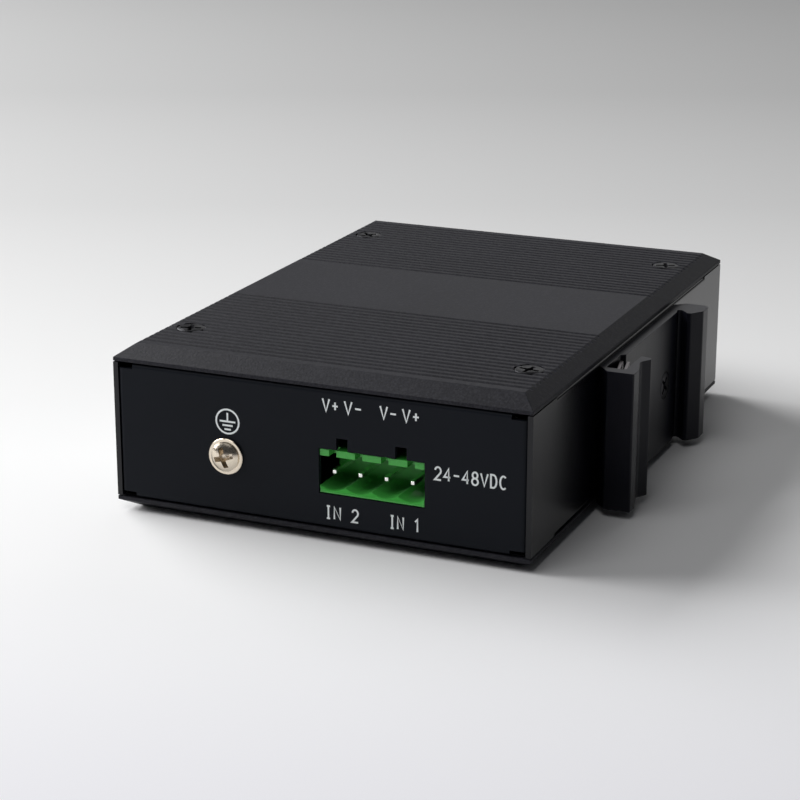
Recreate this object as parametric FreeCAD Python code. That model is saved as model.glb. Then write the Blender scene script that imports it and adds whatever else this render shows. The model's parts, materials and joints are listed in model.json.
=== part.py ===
"""DIN rail Ethernet switch: a flat metal case that lies on its bottom cover.

Frame: X runs from the port face to the rail face, Y from the power panel to the plain end
panel, Z up through the thickness. Pieces are drawn from the case's left, front, bottom corner
and moved to the row's origin, the middle of the bottom of the whole object, when saved.
All sizes are millimetres.
"""
import FreeCAD, Part
import math
import os

os.makedirs("parts", exist_ok=True)
V = FreeCAD.Vector

# Case
CASE_WIDTH = 82.5
CASE_DEPTH = 116.0
CASE_HEIGHT = 32.0
MID_HEIGHT = CASE_HEIGHT / 2.0
SHEET = 1.0
BEND_RADIUS = 0.8

# Covers: a plate with a bevelled rim, fine grooves in two bands and a raised seat below
COVER_UNDERSIDE = 29.2
COVER_SEAT_DROP = 0.2
COVER_SEAT_INSET = 1.5
BEVEL_DROP = 2.1
BEVEL_SIDE = 3.0
BEVEL_END = 3.8
GROOVE_PITCH = 2.0
GROOVE_COUNT = 19
FIRST_GROOVE = 6.2
GROOVE_MOUTH = 1.1
GROOVE_FLOOR = 0.5
GROOVE_DEPTH = 0.35

# Cover screws, M3 countersunk, and the clinch nuts they turn into
SCREW_INSET_X = 7.15
SCREW_INSET_Y = 17.0
M3_RADIUS = 1.5
M3_CLEARANCE_RADIUS = 1.7
CSK_HEAD_RADIUS = 2.75
CSK_SEAT_RADIUS = 2.85
CSK_HOLE_REACH = 8.0
COVER_SCREW_LENGTH = 6.0
NUT_ACROSS_CORNERS = 5.8
NUT_HEIGHT = 2.0
THREAD_GAP = 0.05

# Walls
WALL_LOW = 3.0
WALL_HIGH = CASE_HEIGHT - WALL_LOW
CORNER_RELIEF = 3.0
TOP_FLANGE_DEPTH = 7.0
SIDE_FLANGE_DEPTH = 10.0
NUT_FLANGE_WIDTH = 13.0
NUT_FLANGE_START = 12.0

# Power header: four ways at 5.08 pitch, open at both ends
PIN_PITCH = 5.08
PIN_COUNT = 4
PIN_SIZE = 1.0
FIRST_PIN_X = 44.5
PIN_HEIGHT = 13.45
PIN_TIP = 0.9
PIN_CHAMFER = 0.2
PIN_BEND_INSET = 2.0
PIN_TAIL = 1.0
HEADER_FRONT = 0.2
HEADER_DEPTH = 12.0
HEADER_LOW = 9.5
HEADER_HIGH = 17.75
HEADER_TOP_WALL = 1.25
HEADER_CUSP = 1.35
SCALLOP_RISE = 0.75
HEADER_SOCKET_DEPTH = 8.3
KEY_WIDTH = 1.45
KEY_DEPTH = 2.2
LATCH_CENTRES = (46.4, 57.85)
LATCH_WIDTH = 2.2
LATCH_SLOT_TOP = 20.15
LATCH_RAMP_START = 1.2
LATCH_RAMP_HEIGHT = 0.6
LATCH_RAMP_DEPTH = 2.6
WINDOW_GAP = 0.15

# Ground screw, M3 with a low domed head and a plain washer
GROUND_X = 23.2
GROUND_Z = 13.8
WASHER_RADIUS = 3.45
WASHER_THICKNESS = 0.5
DOME_HEAD_RADIUS = 2.75
DOME_HEAD_RIM = 0.3
DOME_HEAD_HEIGHT = 1.2
GROUND_SCREW_LENGTH = 6.0

# Network ports in a row on the port face
PORT_COUNT = 5
PORT_PITCH = 17.0
FIRST_PORT_Y = 30.0
PORT_WIDTH = 15.9
PORT_HEIGHT = 13.4
PORT_DEPTH = 18.0
SHIELD_THICKNESS = 0.25
PLUG_WIDTH = 11.8
PLUG_HEIGHT = 6.9
LATCH_STEPS = ((6.6, 0.9), (3.4, 1.7))
PLUG_FLOOR = 2.7
PLUG_DEPTH = 13.0
PORT_CONTACTS = 8
CONTACT_PITCH = 1.02
CONTACT_SIZE = 0.4
CONTACT_FRONT = 1.6
CONTACT_DROP = 1.1

# Indicator lamps and the moulded holder that stands them on the circuit board
LIGHT_CENTRES_Y = (13.0, 18.0)
LIGHT_Z = 16.0
LIGHT_RADIUS = 1.5
LIGHT_LENGTH = 4.5
HOLDER_FRONT = 2.5
HOLDER_DEPTH = 6.0
HOLDER_MARGIN_Y = 2.6
HOLDER_MARGIN_Z = 2.4

# Circuit board on four standoffs of the bottom cover
BOARD_LOW = 7.9
BOARD_HIGH = 9.5
BOARD_X = (2.5, 78.5)
BOARD_Y = (1.8, 114.2)
STANDOFF_CENTRES = ((33.0, 11.0), (66.0, 11.0), (33.0, 105.0), (66.0, 105.0))
STANDOFF_ACROSS_CORNERS = 6.0
BOARD_SCREW_LENGTH = 6.0
BOARD_SCREW_ACROSS_CORNERS = 5.8
BOARD_SCREW_HEAD_HEIGHT = 1.8

# Components on the board: plan centre (x, y), then width, depth and height
SWITCH_CHIP = (46.0, 62.0, 14.0, 14.0, 1.6)
MEMORY_CHIP = (46.0, 46.0, 5.0, 6.0, 1.7)
CLOCK_CRYSTAL = (46.0, 77.0, 11.0, 4.6, 3.5)
LINE_TRANSFORMER_X = 25.0
LINE_TRANSFORMER_SIZE = (7.2, 15.0, 6.0)
ISOLATION_TRANSFORMER = (66.0, 62.0, 15.0, 17.0, 12.0)
POWER_INDUCTORS = ((54.0, 30.0), (54.0, 92.0))
POWER_INDUCTOR_SIZE = (12.0, 12.0, 7.0)
POWER_INDUCTOR_CHAMFER = 2.0
SURGE_SUPPRESSORS = ((44.0, 16.5), (60.0, 16.5))
SURGE_SUPPRESSOR_SIZE = (7.0, 5.9, 2.3)
INPUT_FUSES = ((42.0, 22.5), (56.0, 22.5))
INPUT_FUSE_SIZE = (6.1, 2.7, 2.7)
VOLTAGE_REGULATOR = (66.0, 95.5, 10.0, 9.0, 4.5)
FILTER_CAPACITORS = ((68.0, 26.0, 4.0, 12.0), (66.0, 84.0, 5.0, 13.0))

# Rail clip: one extrusion for a 35 mm top-hat rail, with a leaf spring in its deep groove
CLIP_REACH = 7.5
CLIP_LOW = 1.6
CLIP_HIGH = 28.4
CLIP_PLATE = 2.2
CLIP_NEAR = 32.5
CLIP_FAR = 84.0
GROOVE_END = 35.0
NEAR_LIP = 44.4
NEAR_LIP_INNER = 5.05
SPRING_POCKET = 1.3
FAR_NOSE = 76.9
FAR_RECESS = 78.6
CLIP_SCREW_YS = (51.0, 70.0)
SPRING_MARGIN = 0.9

# Clip's plan section: heights stand out from the rail wall, runs go along it
NEAR_SLOPE_HEIGHT = 2.3
NEAR_SLOPE_RUN = 2.8
NEAR_CREST_RUN = 2.7
NEAR_VALLEY_HEIGHT = 6.1
NEAR_VALLEY_RUN = 3.8
NEAR_VALLEY_RADIUS = 1.5
NEAR_TIP_RUN = 1.5
NEAR_TIP_HEIGHT = 7.1
NEAR_TIP_BEVEL = 0.4
GROOVE_RADIUS = 0.5
POCKET_RUN = 1.0
PLATE_STEP = 0.2
FAR_FOOT_RADIUS = 0.8
FAR_RECESS_LOW = 1.7
FAR_RECESS_HIGH = 2.8
FAR_RECESS_RADIUS = 0.5
FAR_NOSE_LOW = 4.3
FAR_NOSE_HIGH = 5.1
FAR_CREST_HEIGHT = 6.9
FAR_CREST_RUN = 2.6
FAR_CREST_RADIUS = 0.8
FAR_END_RADIUS = 1.4
FAR_SLOPE_HEIGHT = 1.9
FAR_SLOPE_RUN = 1.8

# Leaf spring's plan section: (height out from the rail wall, place along it, corner radius)
SPRING_SECTION = (
    (1.45, 43.0, 0.2),
    (3.05, 35.4, 0.55),
    (4.95, 35.4, 0.75),
    (3.35, 42.9, 0.2),
    (2.80, 42.8, 0.2),
    (4.25, 36.0, 0.2),
    (3.55, 36.0, 0.2),
    (2.05, 43.1, 0.2),
)

# The whole object's middle, seen from the case's left, front corner
SCREW_REACH = WASHER_THICKNESS + DOME_HEAD_HEIGHT
ORIGIN = V((CASE_WIDTH + CLIP_REACH) / 2.0, (CASE_DEPTH - SCREW_REACH) / 2.0, 0.0)

X_AXIS = V(1, 0, 0)
Y_AXIS = V(0, 1, 0)
Z_AXIS = V(0, 0, 1)
QUARTER_TURN = 90.0
TOLERANCE = 1e-6


def block(low, high):
    """Return a box between two corners."""
    size = [high[i] - low[i] for i in range(3)]
    return Part.makeBox(size[0], size[1], size[2], V(*low))


def rod(radius, length, base, axis=Z_AXIS):
    """Return a cylinder that starts at base and runs along axis."""
    return Part.makeCylinder(radius, length, V(*base), axis)


def fuse_all(shapes):
    """Return the union of the shapes, with no seams on joined faces."""
    return shapes[0].multiFuse(shapes[1:]).removeSplitter()


def cut_all(shape, tools):
    """Return the shape less every tool."""
    return shape.cut(Part.makeCompound(tools))


def corner_arc(before, corner, after, radius):
    """Return the two tangent points and the arc that rounds a corner of an outline."""
    into = (before - corner).normalize()
    away = (after - corner).normalize()
    half_angle = into.getAngle(away) / 2.0
    reach = radius / math.tan(half_angle)
    start = corner + into * reach
    end = corner + away * reach
    bisector = (into + away).normalize()
    centre = corner + bisector * (radius / math.sin(half_angle))
    middle = centre - bisector * radius
    return start, end, Part.Arc(start, middle, end).toShape()


def outline(corners):
    """Return a closed face from (point, corner radius) pairs, with arcs at the corners."""
    edges = []
    joints = []
    count = len(corners)
    for i, (point, radius) in enumerate(corners):
        if radius == 0.0:
            joints.append((point, point, None))
            continue
        before = corners[i - 1][0]
        after = corners[(i + 1) % count][0]
        joints.append(corner_arc(before, point, after, radius))
    for i, (start, end, arc) in enumerate(joints):
        if arc is not None:
            edges.append(arc)
        next_start = joints[(i + 1) % count][0]
        edges.append(Part.makeLine(end, next_start))
    return Part.Face(Part.Wire(edges))


def flip(shape):
    """Return the shape turned top to bottom about the case's middle height."""
    return shape.mirror(V(0, 0, MID_HEIGHT), Z_AXIS)


def swap_ends(shape):
    """Return the shape mirrored from the front half of the case to the back half."""
    return shape.mirror(V(0, CASE_DEPTH / 2.0, 0), Y_AXIS)


def swap_sides(shape):
    """Return the shape mirrored from the left half of the case to the right half."""
    return shape.mirror(V(CASE_WIDTH / 2.0, 0, 0), X_AXIS)


def cover_screw_places():
    """Return the plan positions of a cover's four screws."""
    xs = (SCREW_INSET_X, CASE_WIDTH - SCREW_INSET_X)
    ys = (SCREW_INSET_Y, CASE_DEPTH - SCREW_INSET_Y)
    return [(x, y) for x in xs for y in ys]


def save(name, pieces):
    """Move one solid or a group of separate solids to the row's origin and write it."""
    shape = pieces[0] if len(pieces) == 1 else Part.makeCompound(pieces)
    shape = shape.copy()
    shape.translate(ORIGIN * -1.0)
    shape.exportStep("parts/" + name + ".step")


def six_sided(across_corners, height, base, axis):
    """Return a six-sided bar of the given height that stands on base along axis."""
    sides = 6
    reach = across_corners / 2.0
    angles = [2.0 * math.pi * i / sides for i in range(sides)]
    corners = [V(reach * math.cos(angle), reach * math.sin(angle), 0.0) for angle in angles]
    bar = Part.Face(Part.makePolygon(corners + corners[:1])).extrude(Z_AXIS * height)
    bar.Placement = FreeCAD.Placement(V(*base), FreeCAD.Rotation(Z_AXIS, axis))
    return bar


def clinched(wall, base, axis):
    """Return the sheet with one clinch nut pressed in at base and bored through along axis."""
    pressed = fuse_all([wall, six_sided(NUT_ACROSS_CORNERS, NUT_HEIGHT, base, axis)])
    start = V(*base) - axis * SHEET
    return pressed.cut(rod(M3_RADIUS + THREAD_GAP, SHEET + NUT_HEIGHT, tuple(start), axis))


# ---------------------------------------------------------------- covers

def groove(y):
    """Return the cutter for one groove across the cover, tapered towards its floor."""
    mouth = GROOVE_MOUTH / 2.0
    floor = GROOVE_FLOOR / 2.0
    taper = (mouth - floor) / GROOVE_DEPTH
    over = 1.0
    wide = mouth + taper * over
    floor_z = CASE_HEIGHT - GROOVE_DEPTH
    top_z = CASE_HEIGHT + over
    corners = [
        V(-over, y - floor, floor_z),
        V(-over, y + floor, floor_z),
        V(-over, y + wide, top_z),
        V(-over, y - wide, top_z),
    ]
    face = Part.Face(Part.makePolygon(corners + corners[:1]))
    return face.extrude(V(CASE_WIDTH + 2.0 * over, 0, 0))


def grooves():
    """Return the cutters of both grooved bands."""
    front = [groove(FIRST_GROOVE + GROOVE_PITCH * i) for i in range(GROOVE_COUNT)]
    back = [swap_ends(cutter) for cutter in front]
    return front + back


def countersink(x, y, top):
    """Return the cutter for an M3 countersunk hole that opens at the height top."""
    cone_drop = CSK_SEAT_RADIUS - M3_CLEARANCE_RADIUS
    cone = Part.makeCone(
        M3_CLEARANCE_RADIUS, CSK_SEAT_RADIUS, cone_drop, V(x, y, top - cone_drop)
    )
    shank = rod(M3_CLEARANCE_RADIUS, CSK_HOLE_REACH, (x, y, top - CSK_HOLE_REACH))
    return fuse_all([cone, shank])


def cover_body():
    """Return the upper cover: rim, bevelled plate, seat, grooves and screw holes."""
    rim_top = CASE_HEIGHT - BEVEL_DROP
    rim = block((0, 0, COVER_UNDERSIDE), (CASE_WIDTH, CASE_DEPTH, rim_top))
    bevelled = Part.makeWedge(
        0.0, rim_top, -CASE_DEPTH, BEVEL_END - CASE_DEPTH, BEVEL_SIDE,
        CASE_WIDTH, CASE_HEIGHT, 0.0, -BEVEL_END, CASE_WIDTH - BEVEL_SIDE,
    )
    bevelled.rotate(V(0, 0, 0), X_AXIS, QUARTER_TURN)
    seat_low = (COVER_SEAT_INSET, COVER_SEAT_INSET, COVER_UNDERSIDE - COVER_SEAT_DROP)
    seat_high = (CASE_WIDTH - COVER_SEAT_INSET, CASE_DEPTH - COVER_SEAT_INSET, COVER_UNDERSIDE)
    plate = fuse_all([rim, bevelled, block(seat_low, seat_high)])
    holes = [countersink(x, y, CASE_HEIGHT) for x, y in cover_screw_places()]
    return cut_all(cut_all(plate, grooves()), holes)


def standoff(x, y):
    """Return one six-sided standoff, pressed into the bottom cover, that carries the board."""
    return six_sided(STANDOFF_ACROSS_CORNERS, BOARD_LOW - WALL_LOW, (x, y, WALL_LOW), Z_AXIS)


def bottom_cover():
    """Return the lower cover, the upper one turned over, with the board's four standoffs."""
    standoffs = [standoff(x, y) for x, y in STANDOFF_CENTRES]
    floor = WALL_LOW - COVER_SEAT_DROP
    bores = [rod(M3_RADIUS + THREAD_GAP, BOARD_LOW, (x, y, floor)) for x, y in STANDOFF_CENTRES]
    return cut_all(fuse_all([flip(cover_body())] + standoffs), bores)


def csk_screw(x, y, top, length):
    """Return an M3 countersunk screw with its head flush at the height top."""
    cone_drop = CSK_HEAD_RADIUS - M3_RADIUS
    cone = Part.makeCone(M3_RADIUS, CSK_HEAD_RADIUS, cone_drop, V(x, y, top - cone_drop))
    shank = rod(M3_RADIUS, length - cone_drop, (x, y, top - length))
    return fuse_all([cone, shank])


def save_covers():
    """Write the two covers and their screws."""
    screws = [csk_screw(x, y, CASE_HEIGHT, COVER_SCREW_LENGTH) for x, y in cover_screw_places()]
    save("top_cover", [cover_body()])
    save("bottom_cover", [bottom_cover()])
    save("top_cover_screws", screws)
    save("bottom_cover_screws", [flip(screw) for screw in screws])


# ---------------------------------------------------------------- folded walls

def folded_channel(origin, across, up, along, depth, height, length):
    """Return a C-shaped folded sheet: a web of the given height with two equal flanges.

    across points from the web's outer face inwards, up along the web, along down its length.
    """
    def at(a, u):
        return origin + across * a + up * u

    corners = [
        (at(0, 0), BEND_RADIUS),
        (at(0, height), BEND_RADIUS),
        (at(depth, height), 0.0),
        (at(depth, height - SHEET), 0.0),
        (at(SHEET, height - SHEET), 0.0),
        (at(SHEET, SHEET), 0.0),
        (at(depth, SHEET), 0.0),
        (at(depth, 0), 0.0),
    ]
    return outline(corners).extrude(along * length)


def end_pan():
    """Return the pan-shaped front wall: four flanges with square reliefs at the corners."""
    height = WALL_HIGH - WALL_LOW
    width = CASE_WIDTH - 2.0 * SHEET
    flange_run = width - 2.0 * CORNER_RELIEF
    flange_x = SHEET + CORNER_RELIEF
    upright = folded_channel(
        V(flange_x, 0, WALL_LOW), Y_AXIS, Z_AXIS, X_AXIS, TOP_FLANGE_DEPTH, height, flange_run
    )
    level = folded_channel(
        V(SHEET, 0, WALL_LOW + SHEET), Y_AXIS, X_AXIS, Z_AXIS,
        SIDE_FLANGE_DEPTH, width, height - 2.0 * SHEET,
    )
    return fuse_all([upright, level])


def header_span():
    """Return the left and right ends of the power header."""
    left = FIRST_PIN_X - PIN_PITCH / 2.0
    return left, left + PIN_PITCH * PIN_COUNT


def header_window():
    """Return the cutters for the header's window and the two latch slots above it."""
    left, right = header_span()
    low = (left - WINDOW_GAP, -SHEET, HEADER_LOW - WINDOW_GAP)
    high = (right + WINDOW_GAP, 2.0 * SHEET, HEADER_HIGH + WINDOW_GAP)
    cutters = [block(low, high)]
    for centre in LATCH_CENTRES:
        start = (centre - LATCH_WIDTH / 2.0, -SHEET, HEADER_HIGH)
        end = (centre + LATCH_WIDTH / 2.0, 2.0 * SHEET, LATCH_SLOT_TOP)
        cutters.append(block(start, end))
    return cutters


def save_end_walls():
    """Write the power panel, with its openings and ground nut, and the plain end panel."""
    front = clinched(cut_all(end_pan(), header_window()), (GROUND_X, SHEET, GROUND_Z), Y_AXIS)
    save("power_panel", [front])
    save("end_panel", [swap_ends(end_pan())])


def side_wall():
    """Return the left wall: a plate with two folded flanges that carry the clinch nuts."""
    height = WALL_HIGH - WALL_LOW
    run = CASE_DEPTH - 2.0 * NUT_FLANGE_START
    folded = folded_channel(
        V(0, NUT_FLANGE_START, WALL_LOW), X_AXIS, Z_AXIS, Y_AXIS, NUT_FLANGE_WIDTH, height, run
    )
    plate = block((0, 0, WALL_LOW), (SHEET, CASE_DEPTH, WALL_HIGH))
    flat_ends = plate.cut(
        block((0, NUT_FLANGE_START, WALL_LOW), (SHEET, CASE_DEPTH - NUT_FLANGE_START, WALL_HIGH))
    )
    wall = fuse_all([folded, flat_ends])
    for y in (SCREW_INSET_Y, CASE_DEPTH - SCREW_INSET_Y):
        wall = clinched(wall, (SCREW_INSET_X, y, WALL_HIGH - SHEET), Z_AXIS * -1.0)
        wall = clinched(wall, (SCREW_INSET_X, y, WALL_LOW + SHEET), Z_AXIS)
    return wall


def port_centres():
    """Return the Y position of each network port."""
    return [FIRST_PORT_Y + PORT_PITCH * i for i in range(PORT_COUNT)]


def port_window(y):
    """Return the cutter for one port's window in the port wall."""
    half = PORT_WIDTH / 2.0 + WINDOW_GAP
    low = (-SHEET, y - half, BOARD_HIGH - WINDOW_GAP)
    high = (2.0 * SHEET, y + half, BOARD_HIGH + PORT_HEIGHT + WINDOW_GAP)
    return block(low, high)


def save_side_walls():
    """Write the port wall with its windows and the rail wall with the clip's clinch nuts."""
    windows = [port_window(y) for y in port_centres()]
    hole_radius = LIGHT_RADIUS + WINDOW_GAP
    through = 3.0 * SHEET
    light_holes = [rod(hole_radius, through, (-SHEET, y, LIGHT_Z), X_AXIS) for y in LIGHT_CENTRES_Y]
    rail_wall = swap_sides(side_wall())
    for y in CLIP_SCREW_YS:
        rail_wall = clinched(rail_wall, (CASE_WIDTH - SHEET, y, clip_middle()), X_AXIS * -1.0)
    save("port_panel", [cut_all(side_wall(), windows + light_holes)])
    save("rail_panel", [rail_wall])


# ---------------------------------------------------------------- power header and ground screw

def pin_xs():
    """Return the X position of each header pin."""
    return [FIRST_PIN_X + PIN_PITCH * i for i in range(PIN_COUNT)]


def header_cavity():
    """Return the cutter for the socket: open ends, flat ceiling and a scalloped floor."""
    left, right = header_span()
    half = PIN_PITCH / 2.0
    ceiling = HEADER_HIGH - HEADER_TOP_WALL
    cusp = HEADER_LOW + HEADER_CUSP
    over = 1.0
    front = HEADER_FRONT - over
    edges = []
    for x in pin_xs():
        start = V(x - half, front, cusp)
        bottom = V(x, front, cusp - SCALLOP_RISE)
        end = V(x + half, front, cusp)
        edges.append(Part.Arc(start, bottom, end).toShape())
    corners = [
        V(right, front, cusp),
        V(right + over, front, cusp),
        V(right + over, front, ceiling),
        V(left - over, front, ceiling),
        V(left - over, front, cusp),
        V(left, front, cusp),
    ]
    edges.extend(Part.makePolygon(corners).Edges)
    return Part.Face(Part.Wire(edges)).extrude(V(0, HEADER_SOCKET_DEPTH + over, 0))


def latch_ramp(centre):
    """Return one wedge on the header's roof that holds the plug's latch."""
    left = centre - LATCH_WIDTH / 2.0
    start = HEADER_FRONT + LATCH_RAMP_START
    corners = [
        V(left, start, HEADER_HIGH),
        V(left, start + LATCH_RAMP_DEPTH, HEADER_HIGH),
        V(left, start + LATCH_RAMP_DEPTH, HEADER_HIGH + LATCH_RAMP_HEIGHT),
    ]
    face = Part.Face(Part.makePolygon(corners + corners[:1]))
    return face.extrude(V(LATCH_WIDTH, 0, 0))


def power_header():
    """Return the header's moulded body."""
    left, right = header_span()
    back = HEADER_FRONT + HEADER_DEPTH
    body = block((left, HEADER_FRONT, HEADER_LOW), (right, back, HEADER_HIGH))
    body = fuse_all([body] + [latch_ramp(centre) for centre in LATCH_CENTRES])
    keys = []
    for x in pin_xs():
        low = (x - KEY_WIDTH / 2.0, HEADER_FRONT, HEADER_HIGH - HEADER_TOP_WALL)
        high = (x + KEY_WIDTH / 2.0, HEADER_FRONT + KEY_DEPTH, HEADER_HIGH)
        keys.append(block(low, high))
    pin_holes = [header_pin(x) for x in pin_xs()]
    return cut_all(cut_all(body.cut(header_cavity()), keys), pin_holes)


def header_pin(x):
    """Return one square pin, bent down behind the socket into the circuit board."""
    half = PIN_SIZE / 2.0
    bend_y = HEADER_FRONT + HEADER_DEPTH - PIN_BEND_INSET
    shaft = block((x - half, PIN_TIP, PIN_HEIGHT - half), (x + half, bend_y, PIN_HEIGHT + half))
    tip_edges = [edge for edge in shaft.Edges if abs(edge.BoundBox.YMax - PIN_TIP) < TOLERANCE]
    shaft = shaft.makeChamfer(PIN_CHAMFER, tip_edges)
    leg_low = (x - half, bend_y - PIN_SIZE, BOARD_LOW - PIN_TAIL)
    leg = block(leg_low, (x + half, bend_y, PIN_HEIGHT - half))
    return fuse_all([shaft, leg])


def ground_screw():
    """Return the ground screw: a low spherical dome on a short rim, and its shank."""
    dome_rise = DOME_HEAD_HEIGHT - DOME_HEAD_RIM
    dome_radius = (DOME_HEAD_RADIUS ** 2 + dome_rise ** 2) / (2.0 * dome_rise)
    seat = -WASHER_THICKNESS
    crown = seat - DOME_HEAD_HEIGHT
    head = rod(DOME_HEAD_RADIUS, DOME_HEAD_HEIGHT, (GROUND_X, crown, GROUND_Z), Y_AXIS)
    ball = Part.makeSphere(dome_radius, V(GROUND_X, crown + dome_radius, GROUND_Z))
    shank = rod(M3_RADIUS, GROUND_SCREW_LENGTH, (GROUND_X, seat, GROUND_Z), Y_AXIS)
    return fuse_all([head.common(ball), shank])


def save_power_fittings():
    """Write the header with its pins and the ground screw with its washer."""
    base = (GROUND_X, -WASHER_THICKNESS, GROUND_Z)
    washer = rod(WASHER_RADIUS, WASHER_THICKNESS, base, Y_AXIS)
    washer = washer.cut(rod(M3_RADIUS + THREAD_GAP, WASHER_THICKNESS, base, Y_AXIS))
    save("power_header", [power_header()])
    save("header_pins", [header_pin(x) for x in pin_xs()])
    save("ground_screw", [ground_screw()])
    save("ground_washer", [washer])


# ---------------------------------------------------------------- network ports

def plug_space(y):
    """Return the cutter for one port's mouth, with the two steps that clear the latch."""
    over = 1.0
    floor = BOARD_HIGH + PLUG_FLOOR
    low = (-over, y - PLUG_WIDTH / 2.0, floor)
    high = (PLUG_DEPTH, y + PLUG_WIDTH / 2.0, floor + PLUG_HEIGHT)
    steps = [block(low, high)]
    for width, drop in LATCH_STEPS:
        step_low = (-over, y - width / 2.0, floor - drop)
        steps.append(block(step_low, (PLUG_DEPTH, y + width / 2.0, floor)))
    return fuse_all(steps)


def port_insert(y):
    """Return one port's moulded body."""
    half = PORT_WIDTH / 2.0 - SHIELD_THICKNESS
    top = BOARD_HIGH + PORT_HEIGHT - SHIELD_THICKNESS
    body = block(
        (SHIELD_THICKNESS, y - half, BOARD_HIGH), (PORT_DEPTH - SHIELD_THICKNESS, y + half, top)
    )
    return cut_all(body, [plug_space(y)])


def port_shield(y):
    """Return one port's sheet metal shell, open at the mouth and underneath."""
    half = PORT_WIDTH / 2.0
    outer = block((0, y - half, BOARD_HIGH), (PORT_DEPTH, y + half, BOARD_HIGH + PORT_HEIGHT))
    inner_half = half - SHIELD_THICKNESS
    inner = block(
        (SHIELD_THICKNESS, y - inner_half, BOARD_HIGH),
        (PORT_DEPTH - SHIELD_THICKNESS, y + inner_half, BOARD_HIGH + PORT_HEIGHT - SHIELD_THICKNESS),
    )
    return cut_all(outer.cut(inner), [plug_space(y)])


def port_contact(y):
    """Return one contact wire: a spring run under the mouth's ceiling, bent at its root."""
    ceiling = BOARD_HIGH + PLUG_FLOOR + PLUG_HEIGHT
    side = y - CONTACT_SIZE / 2.0
    corners = [
        V(CONTACT_FRONT, side, ceiling),
        V(PLUG_DEPTH, side, ceiling - CONTACT_DROP),
        V(PLUG_DEPTH, side, ceiling - CONTACT_DROP - CONTACT_SIZE),
        V(CONTACT_FRONT, side, ceiling - CONTACT_SIZE),
    ]
    face = Part.Face(Part.makePolygon(corners + corners[:1]))
    return face.extrude(V(0, CONTACT_SIZE, 0))


def port_contacts(y):
    """Return the eight contact wires of one port."""
    first = y - CONTACT_PITCH * (PORT_CONTACTS - 1) / 2.0
    return [port_contact(first + CONTACT_PITCH * i) for i in range(PORT_CONTACTS)]


def indicator(y):
    """Return one round lamp that fills its hole in the port wall."""
    return rod(LIGHT_RADIUS, LIGHT_LENGTH, (0, y, LIGHT_Z), X_AXIS)


def indicator_housing():
    """Return the moulded holder that stands the lamps on the circuit board."""
    back = HOLDER_FRONT + HOLDER_DEPTH
    low = (HOLDER_FRONT, LIGHT_CENTRES_Y[0] - HOLDER_MARGIN_Y, BOARD_HIGH)
    high = (back, LIGHT_CENTRES_Y[1] + HOLDER_MARGIN_Y, LIGHT_Z + HOLDER_MARGIN_Z)
    return cut_all(block(low, high), [indicator(y) for y in LIGHT_CENTRES_Y])


def save_ports():
    """Write every network port and the two indicator lamps."""
    for number, y in enumerate(port_centres(), start=1):
        save("port_shield_%d" % number, [port_shield(y)])
        save("port_insert_%d" % number, [port_insert(y)])
        save("port_contacts_%d" % number, port_contacts(y))
    save("indicator_lamps", [indicator(y) for y in LIGHT_CENTRES_Y])
    save("indicator_housing", [indicator_housing()])


# ---------------------------------------------------------------- circuit board

def board_screw(x, y):
    """Return one hexagon-head screw that holds the circuit board to its standoff."""
    shank = rod(M3_RADIUS, BOARD_SCREW_LENGTH, (x, y, BOARD_HIGH - BOARD_SCREW_LENGTH))
    head_base = (x, y, BOARD_HIGH)
    head = six_sided(BOARD_SCREW_ACROSS_CORNERS, BOARD_SCREW_HEAD_HEIGHT, head_base, Z_AXIS)
    return fuse_all([shank, head])


def circuit_board():
    """Return the bare board with its screw holes and the header's pin holes."""
    board = block((BOARD_X[0], BOARD_Y[0], BOARD_LOW), (BOARD_X[1], BOARD_Y[1], BOARD_HIGH))
    holes = [rod(M3_RADIUS + THREAD_GAP, BOARD_HIGH, (x, y, 0)) for x, y in STANDOFF_CENTRES]
    return cut_all(board, holes + [header_pin(x) for x in pin_xs()])


def on_board(x, y, width, depth, height):
    """Return a block-shaped component centred on a place on the board."""
    low = (x - width / 2.0, y - depth / 2.0, BOARD_HIGH)
    return block(low, (x + width / 2.0, y + depth / 2.0, BOARD_HIGH + height))


def power_inductor(x, y):
    """Return one shielded inductor: a low block with its upright edges chamfered."""
    width, depth, height = POWER_INDUCTOR_SIZE
    body = on_board(x, y, width, depth, height)
    upright = [edge for edge in body.Edges if edge.BoundBox.ZLength > height / 2.0]
    return body.makeChamfer(POWER_INDUCTOR_CHAMFER, upright)


def capacitor(x, y, radius, height):
    """Return one upright round capacitor."""
    return rod(radius, height, (x, y, BOARD_HIGH))


def save_electronics():
    """Write the board, its screws and the components that stand on it."""
    transformers = [on_board(LINE_TRANSFORMER_X, y, *LINE_TRANSFORMER_SIZE) for y in port_centres()]
    save("circuit_board", [circuit_board()])
    save("board_screws", [board_screw(x, y) for x, y in STANDOFF_CENTRES])
    save("switch_chip", [on_board(*SWITCH_CHIP)])
    save("memory_chip", [on_board(*MEMORY_CHIP)])
    save("clock_crystal", [on_board(*CLOCK_CRYSTAL)])
    save("line_transformers", transformers)
    save("isolation_transformer", [on_board(*ISOLATION_TRANSFORMER)])
    save("filter_capacitors", [capacitor(*place) for place in FILTER_CAPACITORS])
    save("power_inductors", [power_inductor(x, y) for x, y in POWER_INDUCTORS])
    save("surge_suppressors", [on_board(x, y, *SURGE_SUPPRESSOR_SIZE) for x, y in SURGE_SUPPRESSORS])
    save("input_fuses", [on_board(x, y, *INPUT_FUSE_SIZE) for x, y in INPUT_FUSES])
    save("voltage_regulator", [on_board(*VOLTAGE_REGULATOR)])


# ---------------------------------------------------------------- rail clip

def clip_middle():
    """Return the height of the clip's middle, where its screws are."""
    return (CLIP_LOW + CLIP_HIGH) / 2.0


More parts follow.
